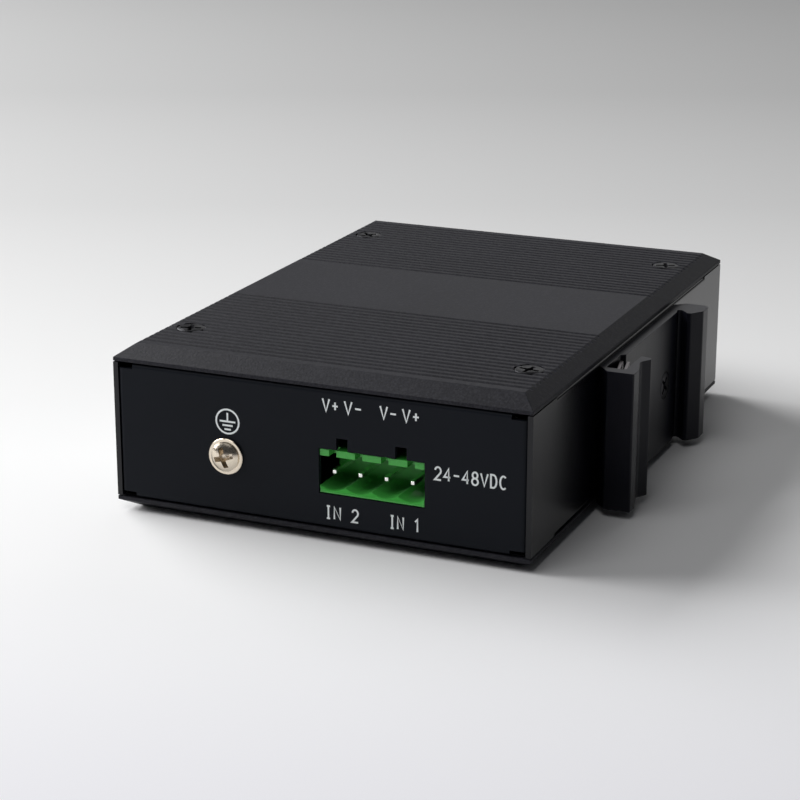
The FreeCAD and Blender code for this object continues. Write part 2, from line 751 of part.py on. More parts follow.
def clip_point(out, along):
    """Return a point of the clip's plan section, out from the rail wall."""
    return V(CASE_WIDTH + out, along, CLIP_LOW)


def clip_section():
    """Return the clip's plan section: deep sprung groove, plate and short hooked lip."""
    corners = [
        (0.0, CLIP_NEAR + NEAR_SLOPE_RUN, 0.0),
        (NEAR_SLOPE_HEIGHT, CLIP_NEAR, 0.0),
        (CLIP_REACH, CLIP_NEAR, 0.0),
        (CLIP_REACH, CLIP_NEAR + NEAR_CREST_RUN, 0.0),
        (NEAR_VALLEY_HEIGHT, NEAR_LIP - NEAR_VALLEY_RUN, NEAR_VALLEY_RADIUS),
        (CLIP_REACH, NEAR_LIP - NEAR_TIP_RUN, 0.0),
        (NEAR_TIP_HEIGHT, NEAR_LIP - NEAR_TIP_BEVEL, 0.0),
        (NEAR_LIP_INNER, NEAR_LIP, 0.0),
        (NEAR_LIP_INNER, GROOVE_END, GROOVE_RADIUS),
        (SPRING_POCKET, GROOVE_END, GROOVE_RADIUS),
        (SPRING_POCKET, NEAR_LIP - POCKET_RUN, 0.0),
        (CLIP_PLATE, NEAR_LIP - PLATE_STEP, 0.0),
        (CLIP_PLATE, FAR_NOSE, FAR_FOOT_RADIUS),
        (FAR_RECESS_LOW, FAR_RECESS, FAR_RECESS_RADIUS),
        (FAR_RECESS_HIGH, FAR_RECESS, FAR_RECESS_RADIUS),
        (FAR_NOSE_LOW, FAR_NOSE, 0.0),
        (FAR_NOSE_HIGH, FAR_NOSE, 0.0),
        (FAR_CREST_HEIGHT, FAR_NOSE + FAR_CREST_RUN, FAR_CREST_RADIUS),
        (FAR_CREST_HEIGHT, CLIP_FAR, FAR_END_RADIUS),
        (FAR_SLOPE_HEIGHT, CLIP_FAR, 0.0),
        (0.0, CLIP_FAR - FAR_SLOPE_RUN, 0.0),
    ]
    return outline([(clip_point(out, along), radius) for out, along, radius in corners])


def side_countersink(y):
    """Return the cutter for one countersunk hole in the clip's plate."""
    upright = countersink(0.0, 0.0, 0.0)
    upright.rotate(V(0, 0, 0), Y_AXIS, QUARTER_TURN)
    upright.translate(V(CASE_WIDTH + CLIP_PLATE, y, clip_middle()))
    return upright


def rail_clip():
    """Return the extruded clip with its two countersunk screw holes."""
    body = clip_section().extrude(Z_AXIS * (CLIP_HIGH - CLIP_LOW))
    return cut_all(body, [side_countersink(y) for y in CLIP_SCREW_YS])


def clip_screw(y):
    """Return one countersunk screw through the clip into the rail wall's nut."""
    screw = csk_screw(0.0, 0.0, 0.0, CLIP_PLATE + SHEET + NUT_HEIGHT)
    screw.rotate(V(0, 0, 0), Y_AXIS, QUARTER_TURN)
    screw.translate(V(CASE_WIDTH + CLIP_PLATE, y, clip_middle()))
    return screw


def clip_spring():
    """Return the hairpin leaf spring that lies aslant in the deep groove."""
    low = V(0, 0, SPRING_MARGIN)
    face = outline([(clip_point(out, along) + low, radius) for out, along, radius in SPRING_SECTION])
    return face.extrude(Z_AXIS * (CLIP_HIGH - CLIP_LOW - 2.0 * SPRING_MARGIN))


def save_rail_clip():
    """Write the clip, its spring and its screws."""
    save("rail_clip", [rail_clip()])
    save("clip_spring", [clip_spring()])
    save("clip_screws", [clip_screw(y) for y in CLIP_SCREW_YS])


save_covers()
save_end_walls()
save_side_walls()
save_power_fittings()
save_ports()
save_electronics()
save_rail_clip()
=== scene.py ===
"""DIN rail Ethernet switch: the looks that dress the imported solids.

Every piece is drawn in millimetres from the case's left, front, bottom corner, as the solids are,
and moved to the frame's metres when it becomes an object. X runs from the port face to the rail
face, Y from the power panel to the plain end panel, Z up through the thickness.
"""
import json
import logging
import math
from dataclasses import dataclass
from enum import Enum
from typing import Any, ClassVar, Iterable, Mapping, Sequence

import bmesh
import bpy
from mathutils import Matrix, Vector


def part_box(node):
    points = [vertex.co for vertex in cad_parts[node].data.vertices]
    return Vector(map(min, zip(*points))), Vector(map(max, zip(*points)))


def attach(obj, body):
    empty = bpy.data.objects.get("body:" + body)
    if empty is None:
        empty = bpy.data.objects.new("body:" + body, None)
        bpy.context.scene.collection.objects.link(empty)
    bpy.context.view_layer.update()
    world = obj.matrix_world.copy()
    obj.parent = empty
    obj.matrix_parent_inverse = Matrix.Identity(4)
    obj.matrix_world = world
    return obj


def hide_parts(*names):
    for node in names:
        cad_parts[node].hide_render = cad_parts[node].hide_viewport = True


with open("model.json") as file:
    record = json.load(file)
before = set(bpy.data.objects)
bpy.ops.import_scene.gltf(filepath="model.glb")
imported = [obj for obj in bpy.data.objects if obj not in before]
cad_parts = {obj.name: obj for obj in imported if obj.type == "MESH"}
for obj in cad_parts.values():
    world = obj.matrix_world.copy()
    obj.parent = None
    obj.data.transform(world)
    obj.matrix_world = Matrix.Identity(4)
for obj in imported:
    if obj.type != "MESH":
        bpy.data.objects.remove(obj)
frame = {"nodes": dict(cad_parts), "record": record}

log = logging.getLogger("switch")

MM = 0.001
BODY = "root"
FULL_TURN = 2.0 * math.pi
QUARTER_TURN = math.pi / 2.0

# Edges that turn by more than this stay sharp in the shading.
SMOOTH_ANGLE = math.radians(40.0)

# Points closer than this are welded, in millimetres: on a new piece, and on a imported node.
WELD = 0.001
PACKED_WELD = 0.0005

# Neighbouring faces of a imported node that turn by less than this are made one.
FLAT_ANGLE = math.radians(0.5)

# The steps from the top of a spherical cap's section to its rim.
CAP_STEPS = 10

BMesh = bmesh.types.BMesh
Colour = tuple[float, float, float]
Point = tuple[float, float]
Point3 = tuple[float, float, float]


# ---------------------------------------------------------------- shader maths

class Socket:
    """A node's output that takes part in arithmetic, which adds Math nodes."""

    def __init__(self, graph: "Graph", output: bpy.types.NodeSocket) -> None:
        """Wrap an output of one of the graph's nodes."""
        self.graph = graph
        self.output = output

    def __add__(self, other: "Socket | float") -> "Socket":
        """Return self + other."""
        return self.graph.maths("ADD", self, other)

    def __radd__(self, other: float) -> "Socket":
        """Return other + self."""
        return self.graph.maths("ADD", other, self)

    def __sub__(self, other: "Socket | float") -> "Socket":
        """Return self - other."""
        return self.graph.maths("SUBTRACT", self, other)

    def __rsub__(self, other: float) -> "Socket":
        """Return other - self."""
        return self.graph.maths("SUBTRACT", other, self)

    def __mul__(self, other: "Socket | float") -> "Socket":
        """Return self * other."""
        return self.graph.maths("MULTIPLY", self, other)

    def __rmul__(self, other: float) -> "Socket":
        """Return other * self."""
        return self.graph.maths("MULTIPLY", other, self)

    def __truediv__(self, other: "Socket | float") -> "Socket":
        """Return self / other."""
        return self.graph.maths("DIVIDE", self, other)

    def __rtruediv__(self, other: float) -> "Socket":
        """Return other / self."""
        return self.graph.maths("DIVIDE", other, self)

    def above(self, threshold: float) -> "Socket":
        """Return 1 where the value is over the threshold and 0 elsewhere."""
        return self.graph.maths("GREATER_THAN", self, threshold)

    def spread(self, factor: float) -> "Socket":
        """Return the value stretched about one half by a factor."""
        return self * factor + (0.5 - 0.5 * factor)


class Detail(Enum):
    """How many finer layers a noise has."""

    SMOOTH = 1.0
    PLAIN = 2.0
    FINE = 3.0
    FINEST = 4.0


class Graph:
    """The node tree of one material."""

    def __init__(self, name: str) -> None:
        """Start an empty material.

        Args:
            name: The material's name.
        """
        self.material = bpy.data.materials.new(name)
        self.material.use_nodes = True
        self.tree = self.material.node_tree
        self.tree.nodes.clear()
        self.place = Socket(self, self.node("ShaderNodeTexCoord").outputs["Object"])

    def node(
        self,
        kind: str,
        settings: Mapping[str, Any] | None = None,
        inputs: Mapping[str | int, Any] | None = None,
    ) -> bpy.types.Node:
        """Add one node.

        Args:
            kind: The node's type.
            settings: Its properties, and a ramp's stops, which are set first.
            inputs: Values or sockets for its inputs.

        Returns:
            The new node.
        """
        node = self.tree.nodes.new(kind)
        for key, value in (settings or {}).items():
            if key == "stops":
                self._set_stops(node.color_ramp, value)
            else:
                setattr(node, key, value)
        for key, value in (inputs or {}).items():
            self._feed(node.inputs[key], value)
        return node

    def _feed(self, socket: bpy.types.NodeSocket, value: Any) -> None:
        """Link an input to another node's output, or set its value.

        Args:
            socket: The input.
            value: A Socket to link it to, or a plain value.
        """
        if isinstance(value, Socket):
            self.tree.links.new(value.output, socket)
        else:
            socket.default_value = value

    @staticmethod
    def _set_stops(ramp: bpy.types.ColorRamp, stops: Sequence[tuple[float, Colour]]) -> None:
        """Give a ramp its stops.

        Args:
            ramp: The ramp that is changed.
            stops: (position, colour) pairs in rising order.
        """
        while len(ramp.elements) > 1:
            ramp.elements.remove(ramp.elements[-1])
        for i, (position, colour) in enumerate(stops):
            element = ramp.elements[0] if i == 0 else ramp.elements.new(position)
            element.position = position
            element.color = (*colour, 1.0)

    def maths(self, operation: str, first: Socket | float, second: Socket | float) -> Socket:
        """Return the result of one Math node."""
        node = self.node("ShaderNodeMath", {"operation": operation}, {0: first, 1: second})
        return Socket(self, node.outputs[0])

    def distance_along(self, direction: Vector) -> Socket:
        """Measure how far the surface lies along a direction.

        Args:
            direction: The direction, as a vector of length 1.

        Returns:
            The distance in metres.
        """
        inputs = {0: self.place, 1: tuple(direction)}
        node = self.node("ShaderNodeVectorMath", {"operation": "DOT_PRODUCT"}, inputs)
        return Socket(self, node.outputs["Value"])

    def stretched(self, scale: Sequence[float]) -> Socket:
        """Return the object's coordinates, scaled along each axis."""
        node = self.node("ShaderNodeMapping", None, {"Vector": self.place, "Scale": tuple(scale)})
        return Socket(self, node.outputs["Vector"])

    def noise(
        self, size: float, detail: Detail = Detail.PLAIN, place: Socket | None = None
    ) -> Socket:
        """Return smooth noise from 0 to 1.

        Args:
            size: The size of its features, in millimetres.
            detail: How many finer layers are added.
            place: The coordinates to read, or the object's own.

        Returns:
            The noise value.
        """
        inputs = {"Vector": place or self.place, "Scale": 1.0 / (size * MM), "Detail": detail.value}
        return Socket(self, self.node("ShaderNodeTexNoise", None, inputs).outputs["Fac"])

    def cells(self, size: float) -> Socket:
        """Return a random level for each cell of a fine irregular pattern.

        Args:
            size: The size of a cell, in millimetres.

        Returns:
            A level from 0 to 1.
        """
        inputs = {"Vector": self.place, "Scale": 1.0 / (size * MM)}
        node = self.node("ShaderNodeTexVoronoi", None, inputs)
        split = self.node("ShaderNodeSeparateColor", None, {0: Socket(self, node.outputs["Color"])})
        return Socket(self, split.outputs[0])

    def blend(self, factor: Socket, low: Socket | Colour, high: Socket | Colour) -> Socket:
        """Return a colour between two others.

        Args:
            factor: The share of the second colour.
            low: The colour at 0.
            high: The colour at 1.

        Returns:
            The mixed colour.
        """
        node = self.node("ShaderNodeMix", {"data_type": "RGBA"})
        for name, value in (("Factor", factor), ("A", low), ("B", high)):
            socket = next(found for found in node.inputs if found.enabled and found.name == name)
            self._feed(socket, value if isinstance(value, Socket) else (*value, 1.0))
        return Socket(self, next(found for found in node.outputs if found.enabled))

    def bump(self, height: Socket, depth: float, strength: float) -> Socket:
        """Return a normal that is tilted by a height pattern.

        Args:
            height: The pattern, from 0 to 1.
            depth: The height of its peaks, in millimetres.
            strength: How much of it shows.

        Returns:
            The normal.
        """
        inputs = {"Height": height, "Distance": depth * MM, "Strength": strength}
        return Socket(self, self.node("ShaderNodeBump", None, inputs).outputs["Normal"])

    def finish(self, inputs: Mapping[str, Any]) -> bpy.types.Material:
        """Close the material with a Principled shader.

        Args:
            inputs: Values or sockets for the shader's inputs.

        Returns:
            The finished material.
        """
        shader = self.node("ShaderNodeBsdfPrincipled", None, inputs)
        surface = Socket(self, shader.outputs["BSDF"])
        self.node("ShaderNodeOutputMaterial", None, {"Surface": surface})
        return self.material


# ---------------------------------------------------------------- finishes

def shaded(colour: Colour, level: float) -> Colour:
    """Return the colour made lighter or darker by a factor."""
    return tuple(min(1.0, channel * level) for channel in colour)


@dataclass(frozen=True)
class Variation:
    """How far a finish's patterns change it.

    dark and light are factors on its colour, gloss is the whole change in roughness, depth is
    the height of its relief in millimetres and strength is how much of the relief shows.
    """

    dark: float
    light: float
    gloss: float
    depth: float
    strength: float


@dataclass(frozen=True)
class Patterns:
    """The patterns, from 0 to 1, that vary a finish's colour, its gloss and its relief."""

    colour: Socket
    gloss: Socket
    relief: Socket


@dataclass(frozen=True)
class Finish:
    """A surface finish, which makes its material once."""

    name: str
    colour: Colour
    roughness: float
    specular: float = 0.5

    variation: ClassVar[Variation]

    def material(self) -> bpy.types.Material:
        """Return the finish's material, made on first use.

        Returns:
            The material.
        """
        existing = bpy.data.materials.get(self.name)
        if existing is not None:
            return existing
        graph = Graph(self.name)
        return graph.finish(self.shader_inputs(graph))

    def shader_inputs(self, graph: Graph) -> dict[str, Any]:
        """Return what feeds the Principled shader.

        Args:
            graph: The material's node tree.

        Returns:
            Values and sockets by the names of the shader's inputs.
        """
        patterns = self.patterns(graph)
        change = self.variation
        low, high = shaded(self.colour, change.dark), shaded(self.colour, change.light)
        return {
            "Base Color": graph.blend(patterns.colour, low, high),
            "Roughness": patterns.gloss * change.gloss + (self.roughness - change.gloss / 2.0),
            "Specular IOR Level": self.specular,
            "Normal": graph.bump(patterns.relief, change.depth, change.strength),
        }

    def patterns(self, graph: Graph) -> Patterns:
        """Return the finish's own patterns, which each kind of finish draws."""
        raise NotImplementedError


@dataclass(frozen=True)
class BlastedAnodising(Finish):
    """Bead-blasted and anodised aluminium: a fine matt grain with many faint pale specks."""

    grain: float = 0.4
    drift: float = 24.0
    contrast: float = 2.4
    grain_share: float = 0.7
    speck: Colour = (0.05, 0.05, 0.058)
    speck_threshold: float = 0.72
    speck_share: float = 0.2

    variation: ClassVar[Variation] = Variation(0.35, 1.75, 0.16, 0.045, 1.0)

    def patterns(self, graph: Graph) -> Patterns:
        """Return the grain, and its mixture with a slow drift for the colour.

        Args:
            graph: The material's node tree.

        Returns:
            The three patterns.
        """
        grain = graph.noise(self.grain, Detail.FINE)
        drift = graph.noise(self.drift, Detail.SMOOTH)
        tone = grain.spread(self.contrast) * self.grain_share + drift * (1.0 - self.grain_share)
        return Patterns(tone, grain, grain)

    def shader_inputs(self, graph: Graph) -> dict[str, Any]:
        """Return what feeds the shader, with the specks laid over the grain's colour.

        Args:
            graph: The material's node tree.

        Returns:
            Values and sockets by the names of the shader's inputs.
        """
        inputs = super().shader_inputs(graph)
        specks = graph.cells(self.grain).above(self.speck_threshold) * self.speck_share
        return inputs | {"Base Color": graph.blend(specks, inputs["Base Color"], self.speck)}


@dataclass(frozen=True)
class PowderCoat(Finish):
    """Satin powder coat: a faint orange peel under an even dark colour."""

    peel: float = 0.9
    drift: float = 30.0

    variation: ClassVar[Variation] = Variation(0.8, 1.25, 0.08, 0.01, 0.25)

    def patterns(self, graph: Graph) -> Patterns:
        """Return a slow drift for colour and gloss, and the peel for relief."""
        drift = graph.noise(self.drift)
        return Patterns(drift, drift, graph.noise(self.peel))


@dataclass(frozen=True)
class DrawnAnodising(Finish):
    """Anodised extrusion: fine die lines along Z."""

    line: float = 0.12
    line_stretch: float = 0.015
    line_share: float = 0.7
    drift: float = 12.0

    variation: ClassVar[Variation] = Variation(0.75, 1.3, 0.2, 0.006, 0.5)

    def patterns(self, graph: Graph) -> Patterns:
        """Return the die lines, and their mixture with a slow drift for the gloss.

        Args:
            graph: The material's node tree.

        Returns:
            The three patterns.
        """
        place = graph.stretched((1.0, 1.0, self.line_stretch))
        lines = graph.noise(self.line, place=place)
        drift = graph.noise(self.drift, Detail.SMOOTH)
        return Patterns(lines, lines * self.line_share + drift * (1.0 - self.line_share), lines)


@dataclass(frozen=True)
class PlatedMetal(Finish):
    """Plated or bright metal: a mirror broken by fine rubbed marks."""

    rub: float = 0.5
    stain_per_rub: float = 8.0

    variation: ClassVar[Variation] = Variation(0.88, 1.06, 0.12, 0.004, 0.4)

    def patterns(self, graph: Graph) -> Patterns:
        """Return broad stains for the colour, and the rubbed marks for gloss and relief."""
        marks = graph.noise(self.rub, Detail.FINEST)
        return Patterns(graph.noise(self.rub * self.stain_per_rub), marks, marks)

    def shader_inputs(self, graph: Graph) -> dict[str, Any]:
        """Return what feeds the shader, which is metallic."""
        return super().shader_inputs(graph) | {"Metallic": 1.0}


@dataclass(frozen=True)
class MouldedPlastic(Finish):
    """Injection-moulded plastic: an even colour with a faint flow and spark-eroded skin."""

    skin: float = 0.25
    flow: float = 6.0
    scatter: float = 0.0
    scatter_reach: Colour = (0.4, 1.0, 0.3)
    scatter_depth: float = 0.8

    variation: ClassVar[Variation] = Variation(0.9, 1.1, 0.1, 0.006, 0.4)

    def patterns(self, graph: Graph) -> Patterns:
        """Return the flow for the colour, and the skin for gloss and relief."""
        skin = graph.noise(self.skin)
        return Patterns(graph.noise(self.flow), skin, skin)

    def shader_inputs(self, graph: Graph) -> dict[str, Any]:
        """Return what feeds the shader, with the light that scatters in the plastic.

        Args:
            graph: The material's node tree.

        Returns:
            Values and sockets by the names of the shader's inputs.
        """
        return super().shader_inputs(graph) | {
            "Subsurface Weight": self.scatter,
            "Subsurface Radius": self.scatter_reach,
            "Subsurface Scale": self.scatter_depth * MM,
        }


@dataclass(frozen=True)
class ScreenInk(Finish):
    """Screen-printed ink: a flat pale coat with slightly uneven cover."""

    cover: float = 0.2

    variation: ClassVar[Variation] = Variation(0.86, 1.08, 0.1, 0.004, 0.3)

    def patterns(self, graph: Graph) -> Patterns:
        """Return the ink's cover for all three."""
        cover = graph.noise(self.cover)
        return Patterns(cover, cover, cover)


@dataclass(frozen=True)
class SolderMask(Finish):
    """Lacquered circuit board: faint copper tracks under the mask."""

    track: float = 1.6
    bare_share: float = 0.5

    variation: ClassVar[Variation] = Variation(1.0, 1.7, 0.08, 0.03, 0.4)

    def patterns(self, graph: Graph) -> Patterns:
        """Return the tracks for all three."""
        tracks = graph.cells(self.track).above(self.bare_share)
        return Patterns(tracks, tracks, tracks)


class Finishes:
    """The finishes of the switch, by the record's material slots."""

    COVER = BlastedAnodising("blasted_charcoal_anodising", (0.0135, 0.0135, 0.0185), 0.55, 0.2)
    PANEL = PowderCoat("satin_black_coat", (0.0076, 0.0092, 0.013), 0.42, 0.095)
    SIDE = PowderCoat("satin_black_side_coat", (0.002, 0.0022, 0.004), 0.25, 0.35)
    CLIP = DrawnAnodising("drawn_black_anodising", (0.0068, 0.0071, 0.0118), 0.36, 0.18)
    BLACK_SCREW = PlatedMetal("black_oxide", (0.03, 0.03, 0.034), 0.42)
    NICKEL = PlatedMetal("nickel_plate", (0.78, 0.69, 0.565), 0.24)
    SPRING = PlatedMetal("bright_spring_steel", (0.22, 0.2, 0.21), 0.38)
    ZINC = PlatedMetal("zinc_plate", (0.62, 0.63, 0.65), 0.32)
    GREEN = MouldedPlastic("green_polyamide", (0.052, 0.41, 0.055), 0.32)
    TIN = PlatedMetal("tin_plate", (0.93, 0.92, 0.9), 0.22)
    SHELL = PlatedMetal("nickel_sheet", (0.66, 0.66, 0.64), 0.26)
    BLACK = MouldedPlastic("black_moulding", (0.012, 0.012, 0.013), 0.45)
    GOLD = PlatedMetal("gold_wire", (0.95, 0.68, 0.28), 0.2)
    LENS = MouldedPlastic("milky_lens", (0.26, 0.31, 0.26), 0.14, skin=0.6, scatter=0.2)
    BOARD = SolderMask("green_solder_mask", (0.01, 0.08, 0.025), 0.39)
    CHIP = MouldedPlastic("chip_moulding", (0.02, 0.02, 0.021), 0.55)
    CAN = PlatedMetal("drawn_can", (0.6, 0.6, 0.63), 0.3)
    FERRITE = MouldedPlastic("lacquered_ferrite", (0.05, 0.045, 0.04), 0.5, skin=0.5)
    INK = ScreenInk("pale_screen_ink", (0.88, 0.92, 0.92), 0.5)

    BY_SLOT: dict[str, Finish] = {
        "cover_metal": COVER,
        "panel_paint": PANEL,
        "side_paint": SIDE,
        "clip_metal": CLIP,
        "black_screw": BLACK_SCREW,
        "nickel": NICKEL,
        "spring_steel": SPRING,
        "steel_nut": ZINC,
        "header_green": GREEN,
        "tinned_pin": TIN,
        "port_shell": SHELL,
        "port_black": BLACK,
        "gold_wire": GOLD,
        "lamp_lens": LENS,
        "board_green": BOARD,
        "chip_black": CHIP,
        "can_metal": CAN,
        "ferrite": FERRITE,
    }


def dress_packed_nodes() -> None:
    """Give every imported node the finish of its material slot."""
    for part in frame["record"]["subparts"]:
        mesh = frame["nodes"][part["node"]].data
        mesh.materials.clear()
        mesh.materials.append(Finishes.BY_SLOT[part["material_slot"]].material())
        log.info("dressed packed node %s with %s", part["node"], mesh.materials[0].name)


# ---------------------------------------------------------------- mesh tools

@dataclass(frozen=True)
class CaseFrame:
    """The case's corner and size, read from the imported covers."""

    corner: Vector
    width: float
    depth: float
    height: float

    @classmethod
    def from_covers(cls) -> "CaseFrame":
        """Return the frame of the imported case.

        Returns:
            The corner in the frame's metres and the sizes in millimetres.
        """
        low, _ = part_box("bottom_cover")
        _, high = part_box("top_cover")
        size = (high - low) / MM
        return cls(low, *(round(value, 3) for value in size))

    def to_frame(self) -> Matrix:
        """Return the matrix from case millimetres to the frame's metres."""
        return Matrix.Translation(self.corner) @ Matrix.Scale(MM, 4)

    def box_mm(self, node: str) -> tuple[Vector, Vector]:
        """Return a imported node's corners in case millimetres."""
        low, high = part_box(node)
        return (low - self.corner) / MM, (high - self.corner) / MM


CASE = CaseFrame.from_covers()


def merged(bm: BMesh) -> BMesh:
    """Weld doubles and turn the faces outwards.

    Args:
        bm: The mesh that is changed.

    Returns:
        The same mesh.
    """
    bmesh.ops.remove_doubles(bm, verts=bm.verts, dist=WELD)
    bmesh.ops.recalc_face_normals(bm, faces=bm.faces)
    return bm


def to_mesh(bm: BMesh, name: str) -> bpy.types.Mesh:
    """Move a bmesh into a new mesh.

    Args:
        bm: The bmesh, which is used up.
        name: The new mesh's name.

    Returns:
        The new mesh.
    """
    mesh = bpy.data.meshes.new(name)
    bm.to_mesh(mesh)
    bm.free()
    return mesh


def new_object(name: str, data: bpy.types.ID) -> bpy.types.Object:
    """Put some data in the scene.

    Args:
        name: The new object's name.
        data: Its mesh, lamp or camera.

    Returns:
        The new object.
    """
    obj = bpy.data.objects.new(name, data)
    bpy.context.scene.collection.objects.link(obj)
    return obj


def add_piece(
    name: str, bm: BMesh, finish: Finish, replaced: Sequence[str] = ()
) -> bpy.types.Object:
    """Turn a bmesh in case millimetres into a dressed piece that rides on the body.

    Args:
        name: The piece's name.
        bm: Its mesh, which is used up.
        finish: What it is dressed with.
        replaced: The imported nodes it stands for.

    Returns:
        The finished object.
    """
    bm.transform(CASE.to_frame())
    mesh = to_mesh(bm, name)
    mesh.materials.append(finish.material())
    mesh.polygons.foreach_set("use_smooth", [True] * len(mesh.polygons))
    mesh.set_sharp_from_angle(angle=SMOOTH_ANGLE)
    piece = new_object(name, mesh)
    shading = piece.modifiers.new("face_weighted_shading", "WEIGHTED_NORMAL")
    shading.keep_sharp = True
    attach(piece, BODY)
    if replaced:
        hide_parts(*replaced)
    log.info("built %s: %d faces, finish %s", name, len(mesh.polygons), finish.name)
    return piece


class Combination(Enum):
    """How a Boolean combines two meshes."""

    CUT = "DIFFERENCE"
    UNION = "UNION"


def combined(base: BMesh, tool: BMesh, combination: Combination) -> BMesh:
    """Combine two meshes by an exact Boolean. Both are used up.

    Args:
        base: The mesh that is changed.
        tool: The mesh it is combined with.
        combination: Whether the tool is cut away or added.

    Returns:
        The resulting mesh.
    """
    body = new_object("boolean_body", to_mesh(base, "boolean_body"))
    cutter = new_object("boolean_tool", to_mesh(tool, "boolean_tool"))
    modifier = body.modifiers.new("combine", "BOOLEAN")
    modifier.operation = combination.value
    modifier.solver = "EXACT"
    modifier.object = cutter
    evaluated = body.evaluated_get(bpy.context.evaluated_depsgraph_get())
    result = bmesh.new()
    result.from_mesh(evaluated.to_mesh())
    evaluated.to_mesh_clear()
    for obj in (body, cutter):
        mesh = obj.data
        bpy.data.objects.remove(obj)
        bpy.data.meshes.remove(mesh)
    return result


def joined(parts: Iterable[BMesh]) -> BMesh:
    """Put several meshes in one.

    Args:
        parts: The meshes, which are used up.

    Returns:
        One mesh that holds them all.
    """
    whole = bmesh.new()
    for part in parts:
        mesh = to_mesh(part, "part")
        whole.from_mesh(mesh)
        bpy.data.meshes.remove(mesh)
    return whole


def shift(bm: BMesh, run: Sequence[float]) -> None:
    """Move a whole mesh along a straight run."""
    bmesh.ops.translate(bm, vec=run, verts=bm.verts)


def push(bm: BMesh, faces: Iterable[bmesh.types.BMFace], run: Sequence[float]) -> None:
    """Extrude some faces along a straight run.

    Args:
        bm: The mesh that is changed.
        faces: The faces to extrude.
        run: How far, and which way.
    """
    grown = bmesh.ops.extrude_face_region(bm, geom=list(faces))
    moved = [item for item in grown["geom"] if isinstance(item, bmesh.types.BMVert)]
    bmesh.ops.translate(bm, vec=run, verts=moved)


def block(low: Sequence[float], high: Sequence[float]) -> BMesh:
    """Make a box.

    Args:
        low: Its lowest corner.
        high: Its highest corner.

    Returns:
        A closed mesh.
    """
    bm = bmesh.new()
    bmesh.ops.create_cube(bm, size=1.0)
    bmesh.ops.scale(bm, vec=Vector(high) - Vector(low), verts=bm.verts)
    shift(bm, (Vector(high) + Vector(low)) / 2.0)
    return bm


def turned(profile: Sequence[Point], steps: int = 48, ring: bool = False) -> BMesh:
    """Sweep a profile round the Z axis.

    Args:
        profile: (radius, height) points that start and end on the axis, or those of a ring.
        steps: The number of steps in the turn.
        ring: Whether the profile is closed on itself.

    Returns:
        A closed mesh.
    """
    bm = bmesh.new()
    points = [bm.verts.new((radius, 0.0, height)) for radius, height in profile]
    pairs = list(zip(points, points[1:])) + ([(points[-1], points[0])] if ring else [])
    edges = [bm.edges.new(pair) for pair in pairs]
    bmesh.ops.spin(
        bm, geom=points + edges, cent=(0, 0, 0), axis=(0, 0, 1),
        angle=FULL_TURN, steps=steps, use_merge=True,
    )
    return merged(bm)


def cap(radius: float, rise: float, top: float) -> list[Point]:
    """Return half the section of a spherical cap, from its top to its rim.

    Args:
        radius: The rim's radius.
        rise: How far the top stands above the rim.
        top: The height of the top.

    Returns:
        (radius, height) points.
    """
    ball = (radius ** 2 + rise ** 2) / (2.0 * rise)
    angles = [math.asin(radius / ball) * i / CAP_STEPS for i in range(CAP_STEPS + 1)]
    return [(ball * math.sin(angle), top - ball + ball * math.cos(angle)) for angle in angles]


def prism(corners: Sequence[Vector], run: Vector) -> BMesh:
    """Push a flat outline along a straight run.

    Args:
        corners: The outline's points, in order.
        run: How far, and which way.

    Returns:
        A closed mesh.
    """
    bm = bmesh.new()
    push(bm, [bm.faces.new([bm.verts.new(corner) for corner in corners])], run)
    bmesh.ops.recalc_face_normals(bm, faces=bm.faces)
    return bm


def soften(
    bm: BMesh, edges: Sequence[bmesh.types.BMEdge], width: float, segments: int = 2
) -> None:
    """Round some edges off.

    Args:
        bm: The mesh that is changed.
        edges: The edges to round.
        width: How far the rounding reaches from each edge, in millimetres.
        segments: The number of faces across it.
    """
    bmesh.ops.bevel(
        bm, geom=list(edges), offset=width, offset_type="OFFSET", segments=segments,
        profile=0.5, affect="EDGES", clamp_overlap=True, material=-1,
    )


def sharp_edges(bm: BMesh, degrees: float = 20.0) -> list[bmesh.types.BMEdge]:
    """Return the edges that turn by more than an angle."""
    limit = math.radians(degrees)
    return [edge for edge in bm.edges if edge.is_manifold and edge.calc_face_angle() > limit]


def merged_copy(node: str) -> BMesh:
    """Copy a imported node's mesh, welded and with flat faces joined.

    Args:
        node: The node's name.

    Returns:
        The copy, in case millimetres.
    """
    bm = bmesh.new()
    bm.from_mesh(frame["nodes"][node].data)
    bm.transform(CASE.to_frame().inverted())
    bmesh.ops.remove_doubles(bm, verts=bm.verts, dist=PACKED_WELD)
    bmesh.ops.dissolve_limit(
        bm, angle_limit=FLAT_ANGLE, verts=bm.verts, edges=bm.edges,
        use_dissolve_boundaries=False,
    )
    return bm


def facing(x: float, y: float, z: float, towards: Vector) -> Matrix:
    """Return the place of a fastener whose head looks along a direction."""
    turn = Vector((0.0, 0.0, 1.0)).rotation_difference(towards).to_matrix().to_4x4()
    return Matrix.Translation((x, y, z)) @ turn


def pair_along_y(node: str, face_x: float, towards: Vector) -> list[Matrix]:
    """Return the places of a node's two equal round pieces, which stand side by side along Y.

    Args:
        node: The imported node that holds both.
        face_x: Where their outer faces are.
        towards: Which way these look.

    Returns:
        The place of each.
    """
    low, high = CASE.box_mm(node)
    radius = (high.z - low.z) / 2.0
    middle = (low.z + high.z) / 2.0
    return [facing(face_x, y, middle, towards) for y in (low.y + radius, high.y - radius)]


